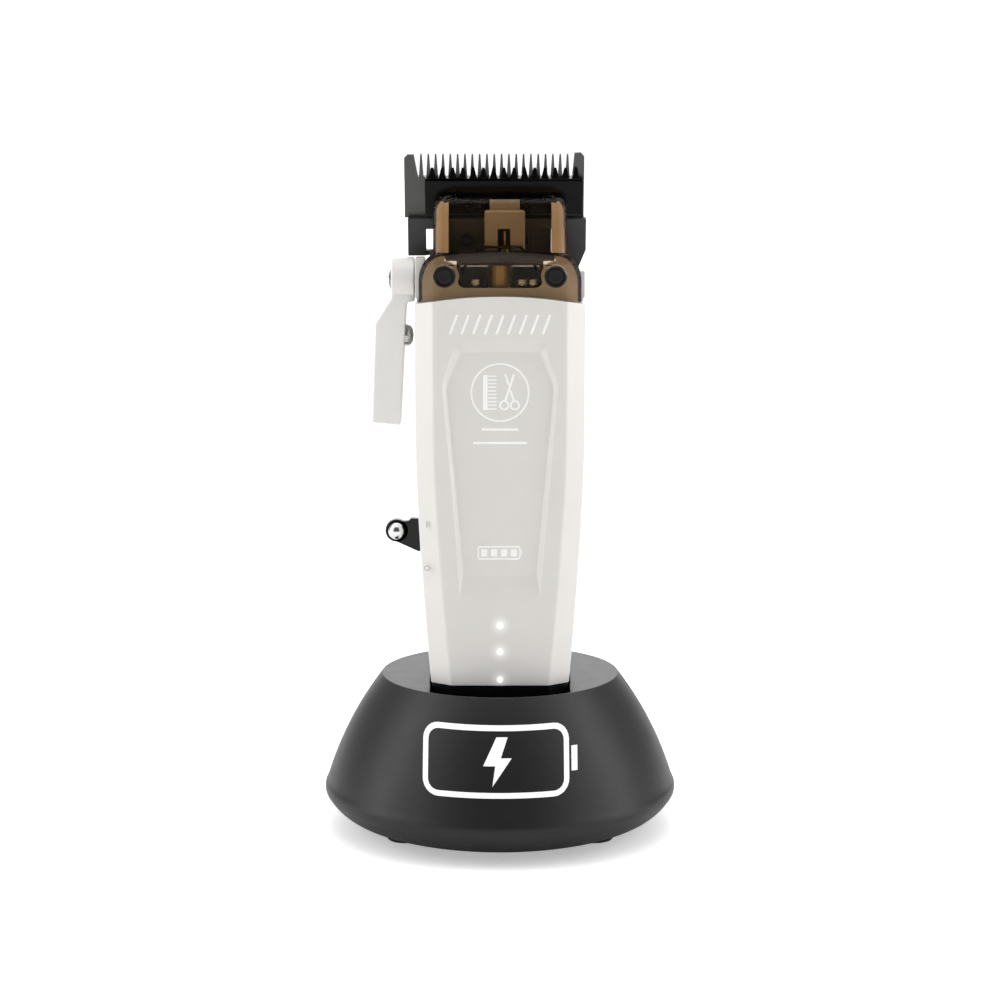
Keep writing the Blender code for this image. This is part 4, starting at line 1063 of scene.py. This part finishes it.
def charge_gauge():
    """A small battery outline with level bars, low on the panel."""
    low, high = (-5.5, 73.7), (5.0, 76.8)
    shapes = loop(rounded_box(low, high, 0.5, 3), 0.35)
    shapes.append(bar((5.25, 74.6), (5.25, 75.9), 0.6))
    for i in range(4):
        x = -4.0 + 2.5 * i
        shapes.append(bar((x, 74.35), (x, 76.15), 1.5))
    printed("charge_gauge", shapes, panel_surface, "clipper", "pale")


def switch_marks():
    """Off and on signs on the left facet, above and below the power lever."""
    x = -18.5
    printed("sign_on", [bar((x, 81.6), (x, 83.1), 0.3)], facet_surface, "clipper", "grey")
    printed("sign_off", loop(circle(x, 71.2, 0.6, 20), 0.25), facet_surface, "clipper", "grey")


def stand_sign():
    """A broad battery outline with a bolt on the stand's front."""
    low, high, line = (-18.6, 18.4), (16.6, 33.6), 1.3
    shapes = loop(rounded_box(low, high, 3.2, 6), line)
    shapes.append(bar((18.6, 23.2), (18.6, 28.8), 1.5))
    middle = 26.0
    bolt = [(-0.9, 5.6), (-4.2, -0.9), (-1.2, -0.9), (-1.9, -5.6), (2.9, 0.9), (0.2, 0.9), (1.9, 5.6)]
    shapes.append([(x, middle + z) for x, z in bolt])
    printed("stand_sign", shapes, flank_surface, "stand", "white", cell=1.5)


# ---------------------------------------------------------------- pieces

# Node: width of its rounded edges, and the angle in degrees up to which its faces are shaded as one
EDGES = {
    "socket_liner": (0.2, 28.0),
    "fixed_blade": (0.0, 3.0),
    "cutter_blade": (0.08, 3.0),
    "taper_carrier": (0.15, 3.0),
    "drive_yoke": (0.0, 28.0),
    "head_frame": (0.1, 28.0),
}


def build():
    head_cover()
    cover_bushes()
    cover_gasket()
    cover_rails()
    front_shell()
    rear_shell()
    end_cap()
    taper_lever()
    power_lever()
    stand_shell()
    for node, (width, smooth) in EDGES.items():
        refined(node, width, smooth)
    slanted_bars()
    barber_sign()
    charge_gauge()
    switch_marks()
    stand_sign()
    for node, made in frame["nodes"].items():
        if not made.hide_render:
            made.data.materials.clear()
            made.data.materials.append(look_of(node))


build()


# ---------------------------------------------------------------- studio

# Light from the world: at the clipper's sides and front, past both flanks of its back, and straight behind it
WORLD_SIDE = 1.42
WORLD_REAR = 0.40
WORLD_BACK = 1.9

# The share of it that is taken away straight in front, and the brightness that the eye sees instead
WORLD_DARK = 0.93
WORLD_SEEN = 1.1

# Brightness that the floor has of its own, for the eye alone
FLOOR_LIFT = 0.40

CAMERA_AWAY = 0.600
CAMERA_HEIGHT = 0.177
CAMERA_PITCH = 8.65


def white_floor():
    """Pale paper, which the eye sees a little brighter than the light makes it."""
    half = 12.0
    data = bmesh.new()
    corners = [(-half, -half), (half, -half), (half, half), (-half, half)]
    data.faces.new([data.verts.new((x, y, 0.0)) for x, y in corners])
    mesh = bpy.data.meshes.new("floor")
    data.to_mesh(mesh)
    data.free()
    floor = linked("floor", mesh)
    paper = Graph("white_floor")
    fibres = paper.noise(1.5, 3.0)
    paper.plug(paper.between(fibres, (0.93, 0.93, 0.93), (0.95, 0.95, 0.95)), "Base Color")
    paper.set(Roughness=0.9, Specular_IOR_Level=0.1, Emission_Color=(1.0, 1.0, 1.0, 1.0))
    seen = paper.nodes.new("ShaderNodeLightPath").outputs["Is Camera Ray"]
    paper.plug(paper.combine("MULTIPLY", seen, FLOOR_LIFT), "Emission Strength")
    mesh.materials.append(paper.material)


def soft_world():
    """White all round for the eye. As light it is dimmer in front, so that dark gloss keeps its depth."""
    world = bpy.data.worlds.new("studio")
    bpy.context.scene.world = world
    world.use_nodes = True
    nodes, links = world.node_tree.nodes, world.node_tree.links
    nodes.clear()

    def ramp(value, from_low, from_high, low, high):
        node = nodes.new("ShaderNodeMapRange")
        node.interpolation_type = "SMOOTHSTEP"
        numbers = {"From Min": from_low, "From Max": from_high, "To Min": low, "To Max": high}
        for name, number in numbers.items():
            node.inputs[name].default_value = number
        links.new(value, node.inputs["Value"])
        return node.outputs["Result"]

    def math_of(operation, *values):
        return combined(nodes, links, operation, *values)

    parts = nodes.new("ShaderNodeSeparateXYZ")
    links.new(nodes.new("ShaderNodeTexCoord").outputs["Generated"], parts.inputs["Vector"])
    x, y, z = parts.outputs
    across = math_of("SQRT", math_of("ADD", math_of("MULTIPLY", x, x), math_of("MULTIPLY", y, y)))
    ahead = math_of("DIVIDE", y, math_of("MAXIMUM", across, 0.001))
    dark = math_of("MULTIPLY", ramp(ahead, -0.90, -0.50, 1.0, 0.0), ramp(z, 0.80, 0.97, 1.0, 0.0))
    low = ramp(z, 0.45, 0.85, 1.0, 0.0)
    rear = math_of("MULTIPLY", ramp(ahead, -0.10, 0.25, 0.0, WORLD_REAR - WORLD_SIDE), low)
    behind = math_of("MULTIPLY", ramp(ahead, 0.86, 0.98, 0.0, WORLD_BACK - WORLD_REAR), low)
    bright = math_of("ADD", WORLD_SIDE, math_of("ADD", rear, behind))
    level = math_of("MULTIPLY", bright, math_of("SUBTRACT", 1.0, math_of("MULTIPLY", dark, WORLD_DARK)))
    lit = nodes.new("ShaderNodeBackground")
    links.new(level, lit.inputs["Strength"])
    seen = nodes.new("ShaderNodeBackground")
    seen.inputs["Strength"].default_value = WORLD_SEEN
    for shader in (lit, seen):
        shader.inputs["Color"].default_value = (1.0, 1.0, 1.0, 1.0)
    mix = nodes.new("ShaderNodeMixShader")
    links.new(nodes.new("ShaderNodeLightPath").outputs["Is Camera Ray"], mix.inputs["Fac"])
    links.new(lit.outputs["Background"], mix.inputs[1])
    links.new(seen.outputs["Background"], mix.inputs[2])
    links.new(mix.outputs["Shader"], nodes.new("ShaderNodeOutputWorld").inputs["Surface"])


def soft_box(name, place, size, power, mirrored=True):
    """An area lamp that faces the clipper's middle. One that isn't mirrored leaves no reflection."""
    lamp = bpy.data.lights.new(name, "AREA")
    lamp.shape = "RECTANGLE"
    lamp.size, lamp.size_y = size
    lamp.energy = power
    made = linked(name, lamp)
    made.location = place
    aim = Vector((0.0, 0.0, 0.09)) - Vector(place)
    made.rotation_euler = aim.to_track_quat("-Z", "Y").to_euler()
    made.visible_glossy = mirrored


def camera():
    """Looks along +Y and a little down, from the height of the clipper's head."""
    view = bpy.data.cameras.new("camera")
    view.sensor_width = 36.0
    view.lens = 83.7
    made = linked("camera", view)
    made.location = (0.0, -CAMERA_AWAY, CAMERA_HEIGHT)
    made.rotation_euler = (math.radians(90.0 - CAMERA_PITCH), 0.0, 0.0)
    bpy.context.scene.camera = made


white_floor()
soft_world()
soft_box("left_box", (-0.95, -0.05, 0.45), (0.35, 0.9), 2.2)
soft_box("right_box", (0.95, -0.05, 0.45), (0.35, 0.9), 2.2)
soft_box("top_box", (0.0, 0.2, 1.1), (0.9, 0.9), 1.5, mirrored=False)
camera()
bpy.context.scene.view_settings.view_transform = "Standard"
